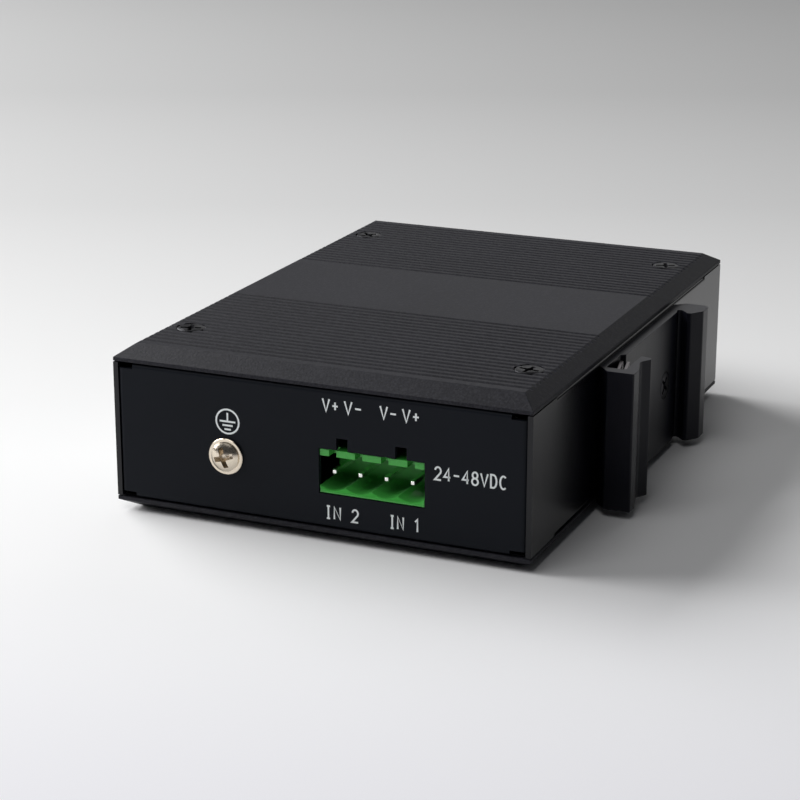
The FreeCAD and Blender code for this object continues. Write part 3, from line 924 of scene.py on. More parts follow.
@dataclass(frozen=True)
class ScrewSeat:
    """A countersunk hole for an M3 screw, whose mouth lies at z = 0."""

    mouth: float = 2.85
    bore: float = 1.7
    ledge: float = 0.3
    over: float = 1.0

    def cutter(self, place: Matrix, reach: float) -> BMesh:
        """Make the hole's cutter.

        Args:
            place: Where the mouth is and which way it looks.
            reach: How deep the cutter goes.

        Returns:
            A closed mesh.
        """
        cone_end = self.bore - self.mouth - self.ledge
        seat = turned([
            (0.0, -reach), (self.bore, -reach), (self.bore, cone_end),
            (self.mouth, -self.ledge), (self.mouth, self.over), (0.0, self.over),
        ])
        seat.transform(place)
        return seat


# ---------------------------------------------------------------- covers

class Side(Enum):
    """Which of the two covers."""

    TOP = "top"
    BOTTOM = "bottom"


@dataclass
class Cover:
    """One grooved cover: a plate with a bevelled rim, fine grooves and a raised seat."""

    side: Side
    thickness: float = 2.8
    seat_inset: float = 1.5
    seat_drop: float = 0.2
    bevel_drop: float = 2.1
    bevel_side: float = 3.0
    bevel_end: float = 3.8
    groove_pitch: float = 2.0
    groove_count: int = 19
    first_groove: float = 6.2
    groove_mouth: float = 1.1
    groove_floor: float = 0.5
    groove_depth: float = 0.35
    edge_round: float = 0.08
    screw_inset: Point = (7.15, 17.0)
    screw_hole_depth: float = 8.0
    standoff_sides: int = 6
    standoff_reach: float = 3.0
    standoff_foot: float = 2.0
    standoff_bore: float = 1.55
    bore_low: float = 2.8
    bore_high: float = 12.0
    bore_sides: int = 32
    standoff_places: Sequence[Point] = ((33.0, 11.0), (66.0, 11.0), (33.0, 105.0), (66.0, 105.0))
    facing_down: float = -0.999

    def build(self) -> bpy.types.Object:
        """Build the cover and put it on the frame.

        Returns:
            The finished cover.
        """
        bm = self._side_cuts(self._plate())
        soften(bm, sharp_edges(bm), self.edge_round)
        self._add_seat(bm)
        bm = combined(bm, joined(self._screw_seats()), Combination.CUT)
        if self.side is Side.BOTTOM:
            self._turn_over(bm)
            bm = combined(bm, joined(self._standoffs()), Combination.UNION)
            bm = combined(bm, joined(self._standoff_bores()), Combination.CUT)
        node = f"{self.side.value}_cover"
        return add_piece(f"{node}_shell", bm, Finishes.COVER, [node])

    def _groove_points(self) -> list[Point]:
        """Return the corners of every groove's section.

        Returns:
            (y, z) points from front to back.
        """
        top = CASE.height
        bottom = top - self.groove_depth
        mouth, floor = self.groove_mouth / 2.0, self.groove_floor / 2.0
        front = [self.first_groove + self.groove_pitch * i for i in range(self.groove_count)]
        back = [CASE.depth - y for y in reversed(front)]
        points: list[Point] = []
        for y in front + back:
            points += [(y - mouth, top), (y - floor, bottom), (y + floor, bottom), (y + mouth, top)]
        return points

    def _plate(self) -> BMesh:
        """Make the plate: its end profile, grooves and all, pushed across the case.

        Returns:
            A closed mesh.
        """
        low = CASE.height - self.thickness
        rim = CASE.height - self.bevel_drop
        outline = [(0.0, low), (0.0, rim), (self.bevel_end, CASE.height)]
        outline += self._groove_points()
        outline += [(CASE.depth - self.bevel_end, CASE.height), (CASE.depth, rim), (CASE.depth, low)]
        corners = [Vector((0.0, y, z)) for y, z in outline]
        return prism(corners, Vector((CASE.width, 0.0, 0.0)))

    def _side_cuts(self, bm: BMesh) -> BMesh:
        """Cut the two sloped sides and close the cuts.

        Args:
            bm: The plate, which is changed.

        Returns:
            The same plate.
        """
        rim = CASE.height - self.bevel_drop
        for edge_x, outwards in ((0.0, -1.0), (CASE.width, 1.0)):
            normal = Vector((outwards * self.bevel_drop, 0.0, self.bevel_side))
            bmesh.ops.bisect_plane(
                bm, geom=bm.verts[:] + bm.edges[:] + bm.faces[:],
                plane_co=(edge_x, 0.0, rim), plane_no=normal, clear_outer=True,
            )
            rim_edges = [edge for edge in bm.edges if edge.is_boundary]
            bmesh.ops.holes_fill(bm, edges=rim_edges, sides=0)
        return merged(bm)

    def _add_seat(self, bm: BMesh) -> None:
        """Raise the shallow seat on the underside.

        Args:
            bm: The plate, which is changed.
        """
        underside = [face for face in bm.faces if face.normal.z < self.facing_down]
        bmesh.ops.inset_region(bm, faces=underside, thickness=self.seat_inset)
        inner = [face for face in underside if face.is_valid]
        push(bm, inner, (0.0, 0.0, -self.seat_drop))
        bmesh.ops.delete(bm, geom=[face for face in inner if face.is_valid], context="FACES_ONLY")
        merged(bm)

    def screw_places(self) -> list[Point]:
        """Return the plan positions of the four cover screws.

        Returns:
            (x, y) places.
        """
        inset_x, inset_y = self.screw_inset
        xs = (inset_x, CASE.width - inset_x)
        ys = (inset_y, CASE.depth - inset_y)
        return [(x, y) for x in xs for y in ys]

    def _screw_seats(self) -> list[BMesh]:
        """Return the four countersunk cutters."""
        places = [Matrix.Translation((x, y, CASE.height)) for x, y in self.screw_places()]
        return [ScrewSeat().cutter(place, self.screw_hole_depth) for place in places]

    def _turn_over(self, bm: BMesh) -> None:
        """Mirror the plate to the underside of the case.

        Args:
            bm: The plate, which is changed.
        """
        bmesh.ops.scale(bm, vec=(1.0, 1.0, -1.0), verts=bm.verts)
        shift(bm, (0.0, 0.0, CASE.height))
        bmesh.ops.recalc_face_normals(bm, faces=bm.faces)

    def _standoffs(self) -> list[BMesh]:
        """Make the six-sided standoffs that carry the circuit board.

        Returns:
            The standoffs.
        """
        board_low = CASE.box_mm("circuit_board")[0].z
        reach, foot = self.standoff_reach, self.standoff_foot
        return self._pillars(reach, foot, board_low, self.standoff_sides)

    def _standoff_bores(self) -> list[BMesh]:
        """Return the cutters of the standoffs' screw holes."""
        return self._pillars(self.standoff_bore, self.bore_low, self.bore_high, self.bore_sides)

    def _pillars(self, reach: float, low: float, high: float, sides: int) -> list[BMesh]:
        """Make an upright pillar at each standoff's place.

        Args:
            reach: From a pillar's middle to its corners.
            low: The height of its foot.
            high: The height of its top.
            sides: The number of its sides.

        Returns:
            The pillars.
        """
        pillars = []
        for x, y in self.standoff_places:
            pillar = turned([(0.0, low), (reach, low), (reach, high), (0.0, high)], sides)
            shift(pillar, (x, y, 0.0))
            pillars.append(pillar)
        return pillars


# ---------------------------------------------------------------- fasteners

class Head(Enum):
    """The shape of a screw's head."""

    COUNTERSUNK = "countersunk"
    ROUND = "round"


@dataclass
class Screw:
    """One M3 screw with a cross recess, drawn point down with its head's seat at z = 0."""

    head: Head
    head_radius: float
    head_height: float
    length: float
    shank_radius: float = 1.5
    point_chamfer: float = 0.4
    rim: float = 0.3
    crown_inset: float = 0.12
    crown_drop: float = 0.1
    recess_reach: float = 2.0
    recess_width: float = 0.72
    recess_depth: float = 1.7
    recess_taper: float = 0.5
    blade_taper: float = 0.8
    core_mouth: float = 0.8
    core_floor: float = 0.35
    core_point: float = 0.3
    core_steps: int = 24
    over: float = 0.05

    def mesh(self) -> BMesh:
        """Make the screw.

        Returns:
            A closed mesh.
        """
        screw = turned(self._profile())
        top = max(vert.co.z for vert in screw.verts)
        return combined(screw, self._cross(top), Combination.CUT)

    def _profile(self) -> list[Point]:
        """Return the screw's half section, from the top of its head to its point.

        Returns:
            (radius, height) points.
        """
        head, shank, tip = self.head_radius, self.shank_radius, -self.length
        if self.head is Head.COUNTERSUNK:
            crown = [
                (0.0, 0.0), (head - self.crown_inset, 0.0), (head, -self.crown_drop),
                (head, -self.rim), (shank, shank - head - self.rim),
            ]
        else:
            crown = cap(head, self.head_height - self.rim, self.head_height)
            crown += [(head, 0.0), (shank, 0.0)]
        chamfer = self.point_chamfer
        return crown + [(shank, tip + chamfer), (shank - chamfer, tip), (0.0, tip)]

    def _cross(self, top: float) -> BMesh:
        """Make the cutter of the cross recess: two blades and a core that taper downwards.

        Args:
            top: The height of the head's top.

        Returns:
            A closed mesh.
        """
        mouth, floor = top + self.over, top - self.recess_depth
        blades = [self._blade(top, turn) for turn in (0.0, QUARTER_TURN)]
        core = turned([
            (0.0, floor - self.core_point), (self.core_floor, floor),
            (self.core_mouth, mouth), (0.0, mouth),
        ], self.core_steps)
        crossed = combined(blades[0], blades[1], Combination.UNION)
        return combined(crossed, core, Combination.UNION)

    def _blade(self, top: float, turn: float) -> BMesh:
        """Make one blade of the recess's cutter.

        Args:
            top: The height of the head's top.
            turn: How far the blade is turned about the screw's axis.

        Returns:
            A closed mesh.
        """
        reach, half = self.recess_reach, self.recess_width / 2.0
        blade = block((-reach, -half, top - self.recess_depth), (reach, half, top + self.over))
        foot = [vert for vert in blade.verts if vert.co.z < top]
        bmesh.ops.scale(blade, vec=(self.recess_taper, self.blade_taper, 1.0), verts=foot)
        bmesh.ops.rotate(blade, cent=(0, 0, 0), matrix=Matrix.Rotation(turn, 3, "Z"),
                         verts=blade.verts)
        return blade


@dataclass
class ScrewGroup:
    """A set of equal screws, each turned to its own angle in its seat."""

    name: str
    screw: Screw
    places: Sequence[Matrix]
    finish: Finish
    slot: str
    first_turn: float = 17.0
    turn_step: float = 31.0

    def build(self) -> bpy.types.Object:
        """Build the screws and put them on the frame.

        Returns:
            The finished group.
        """
        copies = []
        for i, place in enumerate(self.places):
            copy = self.screw.mesh()
            angle = math.radians(self.first_turn + self.turn_step * i)
            copy.transform(place @ Matrix.Rotation(angle, 4, "Z"))
            copies.append(copy)
        whole = joined(copies)
        return add_piece(f"{self.name}_detail", whole, self.finish, [self.name])


@dataclass
class Washer:
    """A plain washer with rolled edges, drawn flat with its lower face at z = 0."""

    outer: float = 3.45
    inner: float = 1.55
    thickness: float = 0.5
    edge: float = 0.1
    steps: int = 64

    def build(self, place: Matrix) -> None:
        """Build the ground screw's washer and put it on the frame.

        Args:
            place: Where its lower face is and which way it looks.
        """
        outer, inner, thick, edge = self.outer, self.inner, self.thickness, self.edge
        ring = turned([
            (inner, edge), (inner + edge, 0.0), (outer - edge, 0.0), (outer, edge),
            (outer, thick - edge), (outer - edge, thick), (inner + edge, thick), (inner, thick - edge),
        ], self.steps, ring=True)
        ring.transform(place)
        add_piece("ground_washer_detail", ring, Finishes.NICKEL, ["ground_washer"])


@dataclass
class Fasteners:
    """Every screw and washer of the case."""

    cover_length: float = 6.0
    cover_head_radius: float = 2.62
    cover_head_sink: float = 0.08
    ground_recess_reach: float = 2.2
    ground_recess_width: float = 1.0
    ground_recess_depth: float = 1.9

    def build(self, cover: Cover) -> None:
        """Build the screws of the covers and the clip, and the ground screw with its washer.

        Args:
            cover: The cover that says where its screws are.
        """
        up, down = Vector((0, 0, 1)), Vector((0, 0, -1))
        sink = self.cover_head_sink
        tops = [facing(x, y, CASE.height - sink, up) for x, y in cover.screw_places()]
        undersides = [facing(x, y, sink, down) for x, y in cover.screw_places()]
        csk = Screw(Head.COUNTERSUNK, self.cover_head_radius, 0.0, self.cover_length - sink)
        for name, places in (("top_cover_screws", tops), ("bottom_cover_screws", undersides)):
            ScrewGroup(name, csk, places, Finishes.BLACK_SCREW, "black_screw").build()
        self._clip_screws()
        self._ground_fitting()

    def _clip_screws(self) -> None:
        """Build the two countersunk screws of the rail clip."""
        low, high = CASE.box_mm("clip_screws")
        places = pair_along_y("clip_screws", high.x, Vector((1, 0, 0)))
        screw = Screw(Head.COUNTERSUNK, (high.z - low.z) / 2.0, 0.0, high.x - low.x)
        ScrewGroup("clip_screws", screw, places, Finishes.BLACK_SCREW, "black_screw").build()

    def _ground_fitting(self) -> None:
        """Build the ground screw and its washer."""
        low, high = CASE.box_mm("ground_screw")
        washer_low, washer_high = CASE.box_mm("ground_washer")
        x, z = (low.x + high.x) / 2.0, (low.z + high.z) / 2.0
        out = Vector((0, -1, 0))
        screw = Screw(
            Head.ROUND, (high.x - low.x) / 2.0, washer_low.y - low.y, high.y - washer_low.y,
            recess_reach=self.ground_recess_reach, recess_width=self.ground_recess_width,
            recess_depth=self.ground_recess_depth,
        )
        place = facing(x, washer_low.y, z, out)
        ScrewGroup("ground_screw", screw, [place], Finishes.NICKEL, "nickel").build()
        Washer().build(facing(x, washer_high.y, z, out))


# ---------------------------------------------------------------- rail clip

@dataclass(frozen=True)
class Corner:
    """One corner of an extrusion's plan section: out from the rail wall, along Y, its radius."""

    out: float
    along: float
    radius: float = 0.0


@dataclass
class Extrusion:
    """A length of extruded or folded section that stands along Z beside the rail wall."""

    corners: Sequence[Corner]
    low: float
    high: float
    end_round: float
    arc_segments: int = 6
    level: float = 1e-5
    nearness: float = 1e-3

    def mesh(self) -> BMesh:
        """Make the section, pushed along Z, with its corners and ends rounded.

        Returns:
            A closed mesh.
        """
        flat = [Vector((CASE.width + corner.out, corner.along, self.low)) for corner in self.corners]
        bm = prism(flat, Vector((0.0, 0.0, self.high - self.low)))
        self._round_corners(bm, flat)
        soften(bm, [edge for edge in sharp_edges(bm) if self._is_level(edge)], self.end_round)
        return merged(bm)

    def _round_corners(self, bm: BMesh, flat: Sequence[Vector]) -> None:
        """Round the upright edges, each by its corner's own radius.

        Args:
            bm: The mesh that is changed.
            flat: The section's corners in plan.
        """
        count = len(flat)
        for i, corner in enumerate(self.corners):
            if corner.radius == 0.0:
                continue
            before, after = flat[i - 1] - flat[i], flat[(i + 1) % count] - flat[i]
            reach = corner.radius / math.tan(before.angle(after) / 2.0)
            edges = [edge for edge in bm.edges if self._stands_at(edge, flat[i])]
            soften(bm, edges, reach, self.arc_segments)

    def _is_level(self, edge: bmesh.types.BMEdge) -> bool:
        """Return whether an edge lies level."""
        return abs(edge.verts[0].co.z - edge.verts[1].co.z) < self.level

    def _stands_at(self, edge: bmesh.types.BMEdge, place: Vector) -> bool:
        """Return whether an edge stands upright at a place in plan."""
        return all((vert.co.xy - place.xy).length < self.nearness for vert in edge.verts)


@dataclass
class RailClip:
    """The extruded clip with its two hooks and the leaf spring in the deep groove.

    Heights stand out from the rail wall and runs go along it.
    """

    reach: float = 7.5
    near: float = 32.5
    far: float = 84.0
    plate: float = 2.2
    plate_step: float = 0.2
    groove_end: float = 35.0
    pocket: float = 1.3
    pocket_run: float = 1.0
    near_slope_height: float = 2.3
    near_slope_run: float = 2.8
    near_crest_run: float = 2.7
    near_valley_height: float = 6.1
    near_valley_run: float = 3.8
    near_tip_height: float = 7.1
    near_tip_run: float = 1.5
    near_tip_bevel: float = 0.4
    near_lip: float = 44.4
    lip_inner: float = 5.05
    far_nose: float = 76.9
    far_nose_low: float = 4.3
    far_nose_high: float = 5.1
    far_recess: float = 78.6
    far_recess_low: float = 1.7
    far_recess_high: float = 2.8
    far_crest_height: float = 6.9
    far_crest_run: float = 2.6
    far_slope_height: float = 1.9
    far_slope_run: float = 1.8
    plate_radius: float = 0.2
    edge_radius: float = 0.3
    nose_radius: float = 0.35
    corner_radius: float = 0.4
    groove_radius: float = 0.5
    foot_radius: float = 0.8
    end_radius: float = 1.4
    valley_radius: float = 1.5
    end_round: float = 0.12
    screw_hole_depth: float = 5.0
    spring_end_round: float = 0.05
    spring_section: Sequence[Corner] = (
        Corner(1.45, 43.0, 0.2),
        Corner(3.05, 35.4, 0.55),
        Corner(4.95, 35.4, 0.75),
        Corner(3.35, 42.9, 0.2),
        Corner(2.80, 42.8, 0.2),
        Corner(4.25, 36.0, 0.2),
        Corner(3.55, 36.0, 0.2),
        Corner(2.05, 43.1, 0.2),
    )

    def build(self) -> None:
        """Build the clip and its spring."""
        low, high = CASE.box_mm("rail_clip")
        clip = Extrusion(self._section(), low.z, high.z, self.end_round).mesh()
        clip = combined(clip, joined(self._screw_seats()), Combination.CUT)
        add_piece("rail_clip_section", clip, Finishes.CLIP, ["rail_clip"])
        low, high = CASE.box_mm("clip_spring")
        spring = Extrusion(self.spring_section, low.z, high.z, self.spring_end_round).mesh()
        add_piece("clip_leaf_spring", spring, Finishes.SPRING, ["clip_spring"])

    def _section(self) -> list[Corner]:
        """Return the corners of the clip's plan section.

        Returns:
            The near hook's outside, its groove, the plate, and the far hook.
        """
        return [
            Corner(0.0, self.near + self.near_slope_run),
            Corner(self.near_slope_height, self.near, self.edge_radius),
            Corner(self.reach, self.near, self.edge_radius),
            Corner(self.reach, self.near + self.near_crest_run, self.corner_radius),
            Corner(self.near_valley_height, self.near_lip - self.near_valley_run, self.valley_radius),
            Corner(self.reach, self.near_lip - self.near_tip_run, self.edge_radius),
            Corner(self.near_tip_height, self.near_lip - self.near_tip_bevel, self.edge_radius),
            Corner(self.lip_inner, self.near_lip, self.edge_radius),
            Corner(self.lip_inner, self.groove_end, self.groove_radius),
            Corner(self.pocket, self.groove_end, self.groove_radius),
            Corner(self.pocket, self.near_lip - self.pocket_run, self.corner_radius),
            Corner(self.plate, self.near_lip - self.plate_step, self.plate_radius),
            Corner(self.plate, self.far_nose, self.foot_radius),
            Corner(self.far_recess_low, self.far_recess, self.groove_radius),
            Corner(self.far_recess_high, self.far_recess, self.groove_radius),
            Corner(self.far_nose_low, self.far_nose, self.nose_radius),
            Corner(self.far_nose_high, self.far_nose, self.nose_radius),
            Corner(self.far_crest_height, self.far_nose + self.far_crest_run, self.foot_radius),
            Corner(self.far_crest_height, self.far, self.end_radius),
            Corner(self.far_slope_height, self.far, self.corner_radius),
            Corner(0.0, self.far - self.far_slope_run),
        ]

    def _screw_seats(self) -> list[BMesh]:
        """Make the countersunk cutters of the two clip screws.

        Returns:
            The cutters.
        """
        _, high = CASE.box_mm("clip_screws")
        places = pair_along_y("clip_screws", high.x, Vector((1, 0, 0)))
        return [ScrewSeat().cutter(place, self.screw_hole_depth) for place in places]


# ---------------------------------------------------------------- power header

@dataclass
class PowerHeader:
    """The green header body and its four pins."""

    body_round: float = 0.13
    body_turn: float = 30.0
    shortest_edge: float = 0.6
    pin_round: float = 0.12
    pin_turn: float = 60.0

    def build(self) -> None:
        """Build the header body with moulded edges and its pins."""
        body = merged_copy("power_header")
        edges = sharp_edges(body, self.body_turn)
        long_edges = [edge for edge in edges if edge.calc_length() > self.shortest_edge]
        soften(body, long_edges, self.body_round)
        add_piece("power_header_body", body, Finishes.GREEN, ["power_header"])
        pins = merged_copy("header_pins")
        soften(pins, sharp_edges(pins, self.pin_turn), self.pin_round)
        add_piece("header_square_pins", pins, Finishes.TIN, ["header_pins"])


# ---------------------------------------------------------------- port face

@dataclass
class PortFace:
    """The network ports' sheet shells and the two domed indicator lamps."""

    shell_round: float = 0.09
    shell_turn: float = 60.0
    lamp_dome: float = 0.75

    def build(self) -> None:
        """Build the shells with rounded sheet edges, and the lamps."""
        for number in range(1, self._port_count() + 1):
            node = f"port_shield_{number}"
            shell = merged_copy(node)
            soften(shell, sharp_edges(shell, self.shell_turn), self.shell_round)
            add_piece(f"{node}_shell", shell, Finishes.SHELL, [node])
        self._lamps()

    @staticmethod
    def _port_count() -> int:
        """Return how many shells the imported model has."""
        return sum(name.startswith("port_shield_") for name in frame["nodes"])

    def _lamps(self) -> None:
        """Build both lamps: round rods with a domed front."""
        low, high = CASE.box_mm("indicator_lamps")
        radius, length = (high.z - low.z) / 2.0, high.x - low.x
        profile = cap(radius, self.lamp_dome, 0.0) + [(radius, -length), (0.0, -length)]
        lamps = []
        for place in pair_along_y("indicator_lamps", low.x, Vector((-1, 0, 0))):
            lamp = turned(profile)
            lamp.transform(place)
            lamps.append(lamp)
        add_piece("indicator_lenses", joined(lamps), Finishes.LENS, ["indicator_lamps"])


# ---------------------------------------------------------------- legends

# The degrees between an arc's points.
ARC_STEP = 15.0

# A stroke whose ends are closer than this, in millimetres, is closed.
SAME_POINT = 1e-6


def arc(centre: Point, radii: Point, start: float, end: float) -> list[Point]:
    """Make points along an elliptical arc.

    Args:
        centre: Its middle.
        radii: Its radii across and up.
        start: The first angle in degrees.
        end: The last angle in degrees.

    Returns:
        Points about ARC_STEP degrees apart.
    """
    steps = max(2, round(abs(end - start) / ARC_STEP))
    angles = [math.radians(start + (end - start) * i / steps) for i in range(steps + 1)]
    return [(centre[0] + radii[0] * math.cos(a), centre[1] + radii[1] * math.sin(a)) for a in angles]


Stroke = list[Point]

GLYPHS: dict[str, list[Stroke]] = {
    "V": [[(0.0, 1.0), (0.5, 0.0), (1.0, 1.0)]],
    "+": [[(0.1, 0.5), (0.9, 0.5)], [(0.5, 0.2), (0.5, 0.8)]],
    "-": [[(0.1, 0.5), (0.9, 0.5)]],
    "I": [[(0.5, 0.0), (0.5, 1.0)], [(0.25, 0.0), (0.75, 0.0)], [(0.25, 1.0), (0.75, 1.0)]],
    "N": [[(0.05, 0.0), (0.05, 1.0), (0.95, 0.0), (0.95, 1.0)]],
    "1": [[(0.2, 0.78), (0.55, 1.0), (0.55, 0.0)]],
    "2": [arc((0.5, 0.71), (0.42, 0.29), 170.0, -30.0) + [(0.05, 0.0), (0.95, 0.0)]],
    "4": [[(0.72, 0.0), (0.72, 1.0), (0.05, 0.3), (0.95, 0.3)]],
    "8": [arc((0.5, 0.76), (0.36, 0.24), -90.0, 270.0), arc((0.5, 0.26), (0.43, 0.26), 90.0, 450.0)],
    "D": [[(0.1, 0.0), (0.1, 1.0), (0.45, 1.0)] + arc((0.45, 0.5), (0.45, 0.5), 80.0, -80.0)
          + [(0.45, 0.0), (0.1, 0.0)]],
    "C": [arc((0.55, 0.5), (0.47, 0.5), 50.0, 310.0)],
}


@dataclass
class Legend:
    """One line of plain markings on the power panel."""

    text: str
    left: float
    right: float
    base: float
    height: float = 2.35
    letter_share: float = 0.74

    def strokes(self) -> list[Stroke]:
        """Lay out the strokes of every letter.

        Returns:
            Strokes of (x, z) points in case millimetres.
        """
        cell = (self.right - self.left) / (len(self.text) - 1 + self.letter_share)
        wide = cell * self.letter_share
        found = []
        for i, letter in enumerate(self.text):
            start = self.left + cell * i
            for stroke in GLYPHS.get(letter, []):
                found.append([(start + x * wide, self.base + z * self.height) for x, z in stroke])
        return found


@dataclass
class Markings:
    """The pale printing on the power panel: terminal marks and the earth sign."""

    line_width: float = 0.34
    proud: float = 0.02
    overprint: float = 0.002
    sharpest: float = 0.35
    earth_centre: Point = (23.55, 20.45)
    earth_radius: float = 2.3
    earth_stem: float = 1.65
    earth_bars: Sequence[Point] = ((1.6, 0.0), (1.05, -0.75), (0.65, -1.5))
    legends: Sequence[Legend] = (
        Legend("V+", 42.7, 45.8, 24.95),
        Legend("V-", 47.0, 50.3, 24.95),
        Legend("V-", 53.9, 57.05, 24.95),
        Legend("V+", 58.2, 61.4, 24.95),
        Legend("IN 2", 43.0, 49.6, 4.75),
        Legend("IN 1", 55.6, 61.6, 4.75),
        Legend("24-48VDC", 64.3, 77.8, 15.15),
    )

    def build(self) -> None:
        """Print every mark on the panel."""
        for i, legend in enumerate(self.legends):
            self._print(f"panel_mark_{i + 1}", legend.strokes())
        self._print("earth_sign", self._earth_strokes())

    def _earth_strokes(self) -> list[Stroke]:
        """Draw the ring, the stem and the bars of the earth sign.

        Returns:
            Its strokes; each bar is given as half its length and its height.
        """
        x, z = self.earth_centre
        ring = arc((x, z), (self.earth_radius, self.earth_radius), 0.0, math.degrees(FULL_TURN))
        strokes = [ring, [(x, z + self.earth_stem), (x, z)]]
        strokes += [[(x - half, z + rise), (x + half, z + rise)] for half, rise in self.earth_bars]
        return strokes

    def _print(self, name: str, strokes: Sequence[Stroke]) -> None:
        """Lay a set of strokes on the panel as a thin coat of ink.

        Args:
            name: The mark's name.
            strokes: Its strokes, each a little prouder than the one before.
        """
        outer = CASE.box_mm("power_panel")[0].y
        parts = []
        for i, stroke in enumerate(strokes):
            thickness = self.proud + i * self.overprint
            ribbon = self._ribbon(stroke, thickness)
            shift(ribbon, Vector((0.0, outer - thickness, 0.0)))
            parts.append(ribbon)
        add_piece(name, joined(parts), Finishes.INK)

    def _ribbon(self, stroke: Stroke, thickness: float) -> BMesh:
        """Make one stroke as a flat closed ribbon with mitred joints.

        Args:
            stroke: The (x, z) points of its middle line.
            thickness: How thick the ink is.

        Returns:
            A closed mesh whose back lies on the plane y = thickness.
        """
        closed = math.dist(stroke[0], stroke[-1]) < SAME_POINT
        points = list(stroke[:-1] if closed else stroke)
        bm = bmesh.new()
        rungs = []
        for i, (x, z) in enumerate(points):
            side_x, side_z = self._mitre(points, i, closed)
            ends = [bm.verts.new((x + side_x * sign, 0.0, z + side_z * sign)) for sign in (1, -1)]
            rungs.append(bm.edges.new(ends))
        pairs = list(zip(rungs, rungs[1:])) + ([(rungs[-1], rungs[0])] if closed else [])
        for pair in pairs:
            bmesh.ops.bridge_loops(bm, edges=list(pair))
        push(bm, bm.faces[:], Vector((0.0, thickness, 0.0)))
        return merged(bm)

    def _mitre(self, points: Sequence[Point], i: int, closed: bool) -> Point:
        """Find half the ribbon's width at a point, square to the line or along its mitre.

        Args:
            points: The stroke's middle line.
            i: Which of its points is asked for.
            closed: Whether the line ends where it starts.

        Returns:
            The run from the middle line to the ribbon's edge.
        """
        count = len(points)
        before = points[i - 1] if closed or i > 0 else None
        after = points[(i + 1) % count] if closed or i < count - 1 else None
        normals = []
        for start, end in ((before, points[i]), (points[i], after)):
            if start is not None and end is not None:
                run = math.dist(start, end)
                normals.append(((start[1] - end[1]) / run, (end[0] - start[0]) / run))
        first, last = normals[0], normals[-1]
        lean = max(1.0 + first[0] * last[0] + first[1] * last[1], self.sharpest)
        reach = self.line_width / 2.0
        return reach * (first[0] + last[0]) / lean, reach * (first[1] + last[1]) / lean


# ---------------------------------------------------------------- stage

@dataclass(frozen=True)
class Softbox:
    """One rectangular area lamp that looks at the middle of the case, in case millimetres."""

    name: str
    place: Point3
    size: Point
    watts: float

    def hang(self) -> None:
        """Add the lamp to the scene."""
        data = bpy.data.lights.new(self.name, "AREA")
        data.shape = "RECTANGLE"
        data.size, data.size_y = self.size
        data.energy = self.watts
        lamp = new_object(self.name, data)
        position = CASE.to_frame() @ Vector(self.place)
        target = CASE.to_frame() @ Vector((CASE.width / 2.0, CASE.depth / 2.0, 0.0))
        turn = (target - position).to_track_quat("-Z", "Y").to_matrix().to_4x4()
        lamp.matrix_world = Matrix.Translation(position) @ turn


@dataclass
class Camera:
    """The camera, placed in case millimetres."""

    place: Point3 = (207.805, -346.058, 148.721)
    azimuth: float = 23.452
    elevation: float = 17.623
    roll: float = 0.05
    lens: float = 101.97
    nearest: float = 0.01
    farthest: float = 50.0

    def set_up(self) -> None:
        """Add the camera to the scene and look through it."""
        data = bpy.data.cameras.new("camera")
        data.lens = self.lens
        data.clip_start = self.nearest
        data.clip_end = self.farthest
        camera = new_object("camera", data)
        turn = Matrix(self._axes()).transposed().to_4x4()
        camera.matrix_world = Matrix.Translation(self.frame_place()) @ turn
        bpy.context.scene.camera = camera

    def frame_place(self) -> Vector:
        """Return where the camera stands in the frame."""
        return CASE.to_frame() @ Vector(self.place)

    def level_view(self) -> Vector:
        """Return the level direction in which the camera looks."""
        azimuth = math.radians(self.azimuth)
        return Vector((-math.sin(azimuth), math.cos(azimuth), 0.0))

    def _axes(self) -> tuple[Vector, Vector, Vector]:
        """Find the camera's own directions.

        Returns:
            Right, up and backward.
        """
        az, el, roll = (math.radians(a) for a in (self.azimuth, self.elevation, self.roll))
        back = Vector((math.sin(az) * math.cos(el), -math.cos(az) * math.cos(el), math.sin(el)))
        right = (-back).cross(Vector((0, 0, 1))).normalized()
        up = right.cross(-back)
        rolled_right = right * math.cos(roll) + up * math.sin(roll)
        rolled_up = up * math.cos(roll) - right * math.sin(roll)
        return rolled_right, rolled_up, back


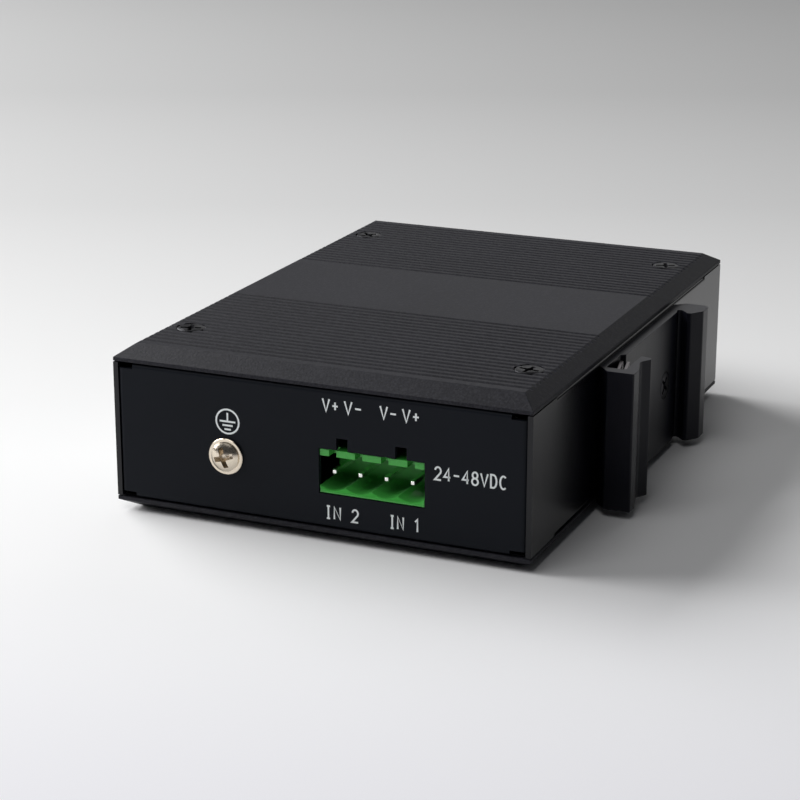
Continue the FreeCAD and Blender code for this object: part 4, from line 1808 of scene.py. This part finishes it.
@dataclass
class Floor:
    """The pale floor: a matt sheet whose paleness changes with distance from the camera.

    The colour is painted light: a pool of light about the case, and painted shade that deepens
    far from the camera. Each stop is a share of the span from the camera and the colour there.
    """

    half: float = 4.0
    squares: int = 8
    span: float = 1.2
    roughness: float = 0.9
    # The stops paint the light: palest at the case's front, with painted shade deepening far away.
    stops: Sequence[tuple[float, Colour]] = (
        (0.22, (0.92, 0.915, 0.96)),
        (0.27, (0.965, 0.965, 0.985)),
        (0.31, (0.985, 0.985, 0.99)),
        (0.36, (0.955, 0.955, 0.955)),
        (0.39, (0.89, 0.89, 0.89)),
        (0.46, (0.76, 0.76, 0.76)),
        (0.55, (0.60, 0.60, 0.60)),
        (0.71, (0.45, 0.45, 0.45)),
        (0.92, (0.38, 0.38, 0.38)),
    )

    def lay(self, camera: Camera) -> None:
        """Lay the floor and give it to the stage.

        Args:
            camera: The camera from which its distance is measured.
        """
        bm = bmesh.new()
        bmesh.ops.create_grid(bm, x_segments=self.squares, y_segments=self.squares, size=self.half)
        mesh = to_mesh(bm, "floor")
        floor = new_object("floor", mesh)
        mesh.materials.append(self._material(camera))

    def _material(self, camera: Camera) -> bpy.types.Material:
        """Make the floor's material.

        Args:
            camera: The camera from which its distance is measured.

        Returns:
            The material.
        """
        graph = Graph("floor_painted_light")
        along = camera.level_view()
        near = camera.frame_place().dot(along)
        share = (graph.distance_along(along) - near) / self.span
        # The ramp paints a pool of light and painted shade on the floor, by distance from the camera.
        ramp = graph.node("ShaderNodeValToRGB", {"stops": self.stops}, {"Fac": share})
        pale = Socket(graph, ramp.outputs["Color"])
        return graph.finish({
            "Base Color": pale, "Roughness": self.roughness, "Specular IOR Level": 0.0,
        })


@dataclass
class Studio:
    """The camera, the pale floor with its painted light, the surroundings and the soft lights."""

    world_colour: Colour = (0.9, 0.93, 1.0)
    world_strength: float = 0.03
    softboxes: Sequence[Softbox] = (
        Softbox("key_softbox", (-900.0, 150.0, 550.0), (1.2, 0.8), 20.5),
        Softbox("front_softbox", (-100.0, -500.0, 1100.0), (0.8, 0.8), 3.2),
        Softbox("rear_softbox", (0.0, 1000.0, 450.0), (1.0, 0.6), 1.3),
    )

    def build(self) -> None:
        """Set the whole stage."""
        camera = Camera()
        camera.set_up()
        Floor().lay(camera)
        self._world()
        for softbox in self.softboxes:
            softbox.hang()
        bpy.context.scene.view_settings.view_transform = "Standard"

    def _world(self) -> None:
        """Give the surroundings an even pale light."""
        world = bpy.data.worlds.new("surroundings")
        bpy.context.scene.world = world
        world.use_nodes = True
        background = world.node_tree.nodes["Background"]
        background.inputs["Color"].default_value = (*self.world_colour, 1.0)
        background.inputs["Strength"].default_value = self.world_strength


# ---------------------------------------------------------------- assembly


def main() -> None:
    """Build the switch's pieces in order and set the stage."""
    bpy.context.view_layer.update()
    dress_packed_nodes()
    top = Cover(Side.TOP)
    top.build()
    Cover(Side.BOTTOM).build()
    Fasteners().build(top)
    RailClip().build()
    PowerHeader().build()
    PortFace().build()
    Markings().build()
    Studio().build()
    log.info("the switch is complete")


if __name__ == "__main__":
    logging.basicConfig(level=logging.INFO, format="%(message)s")
    main()
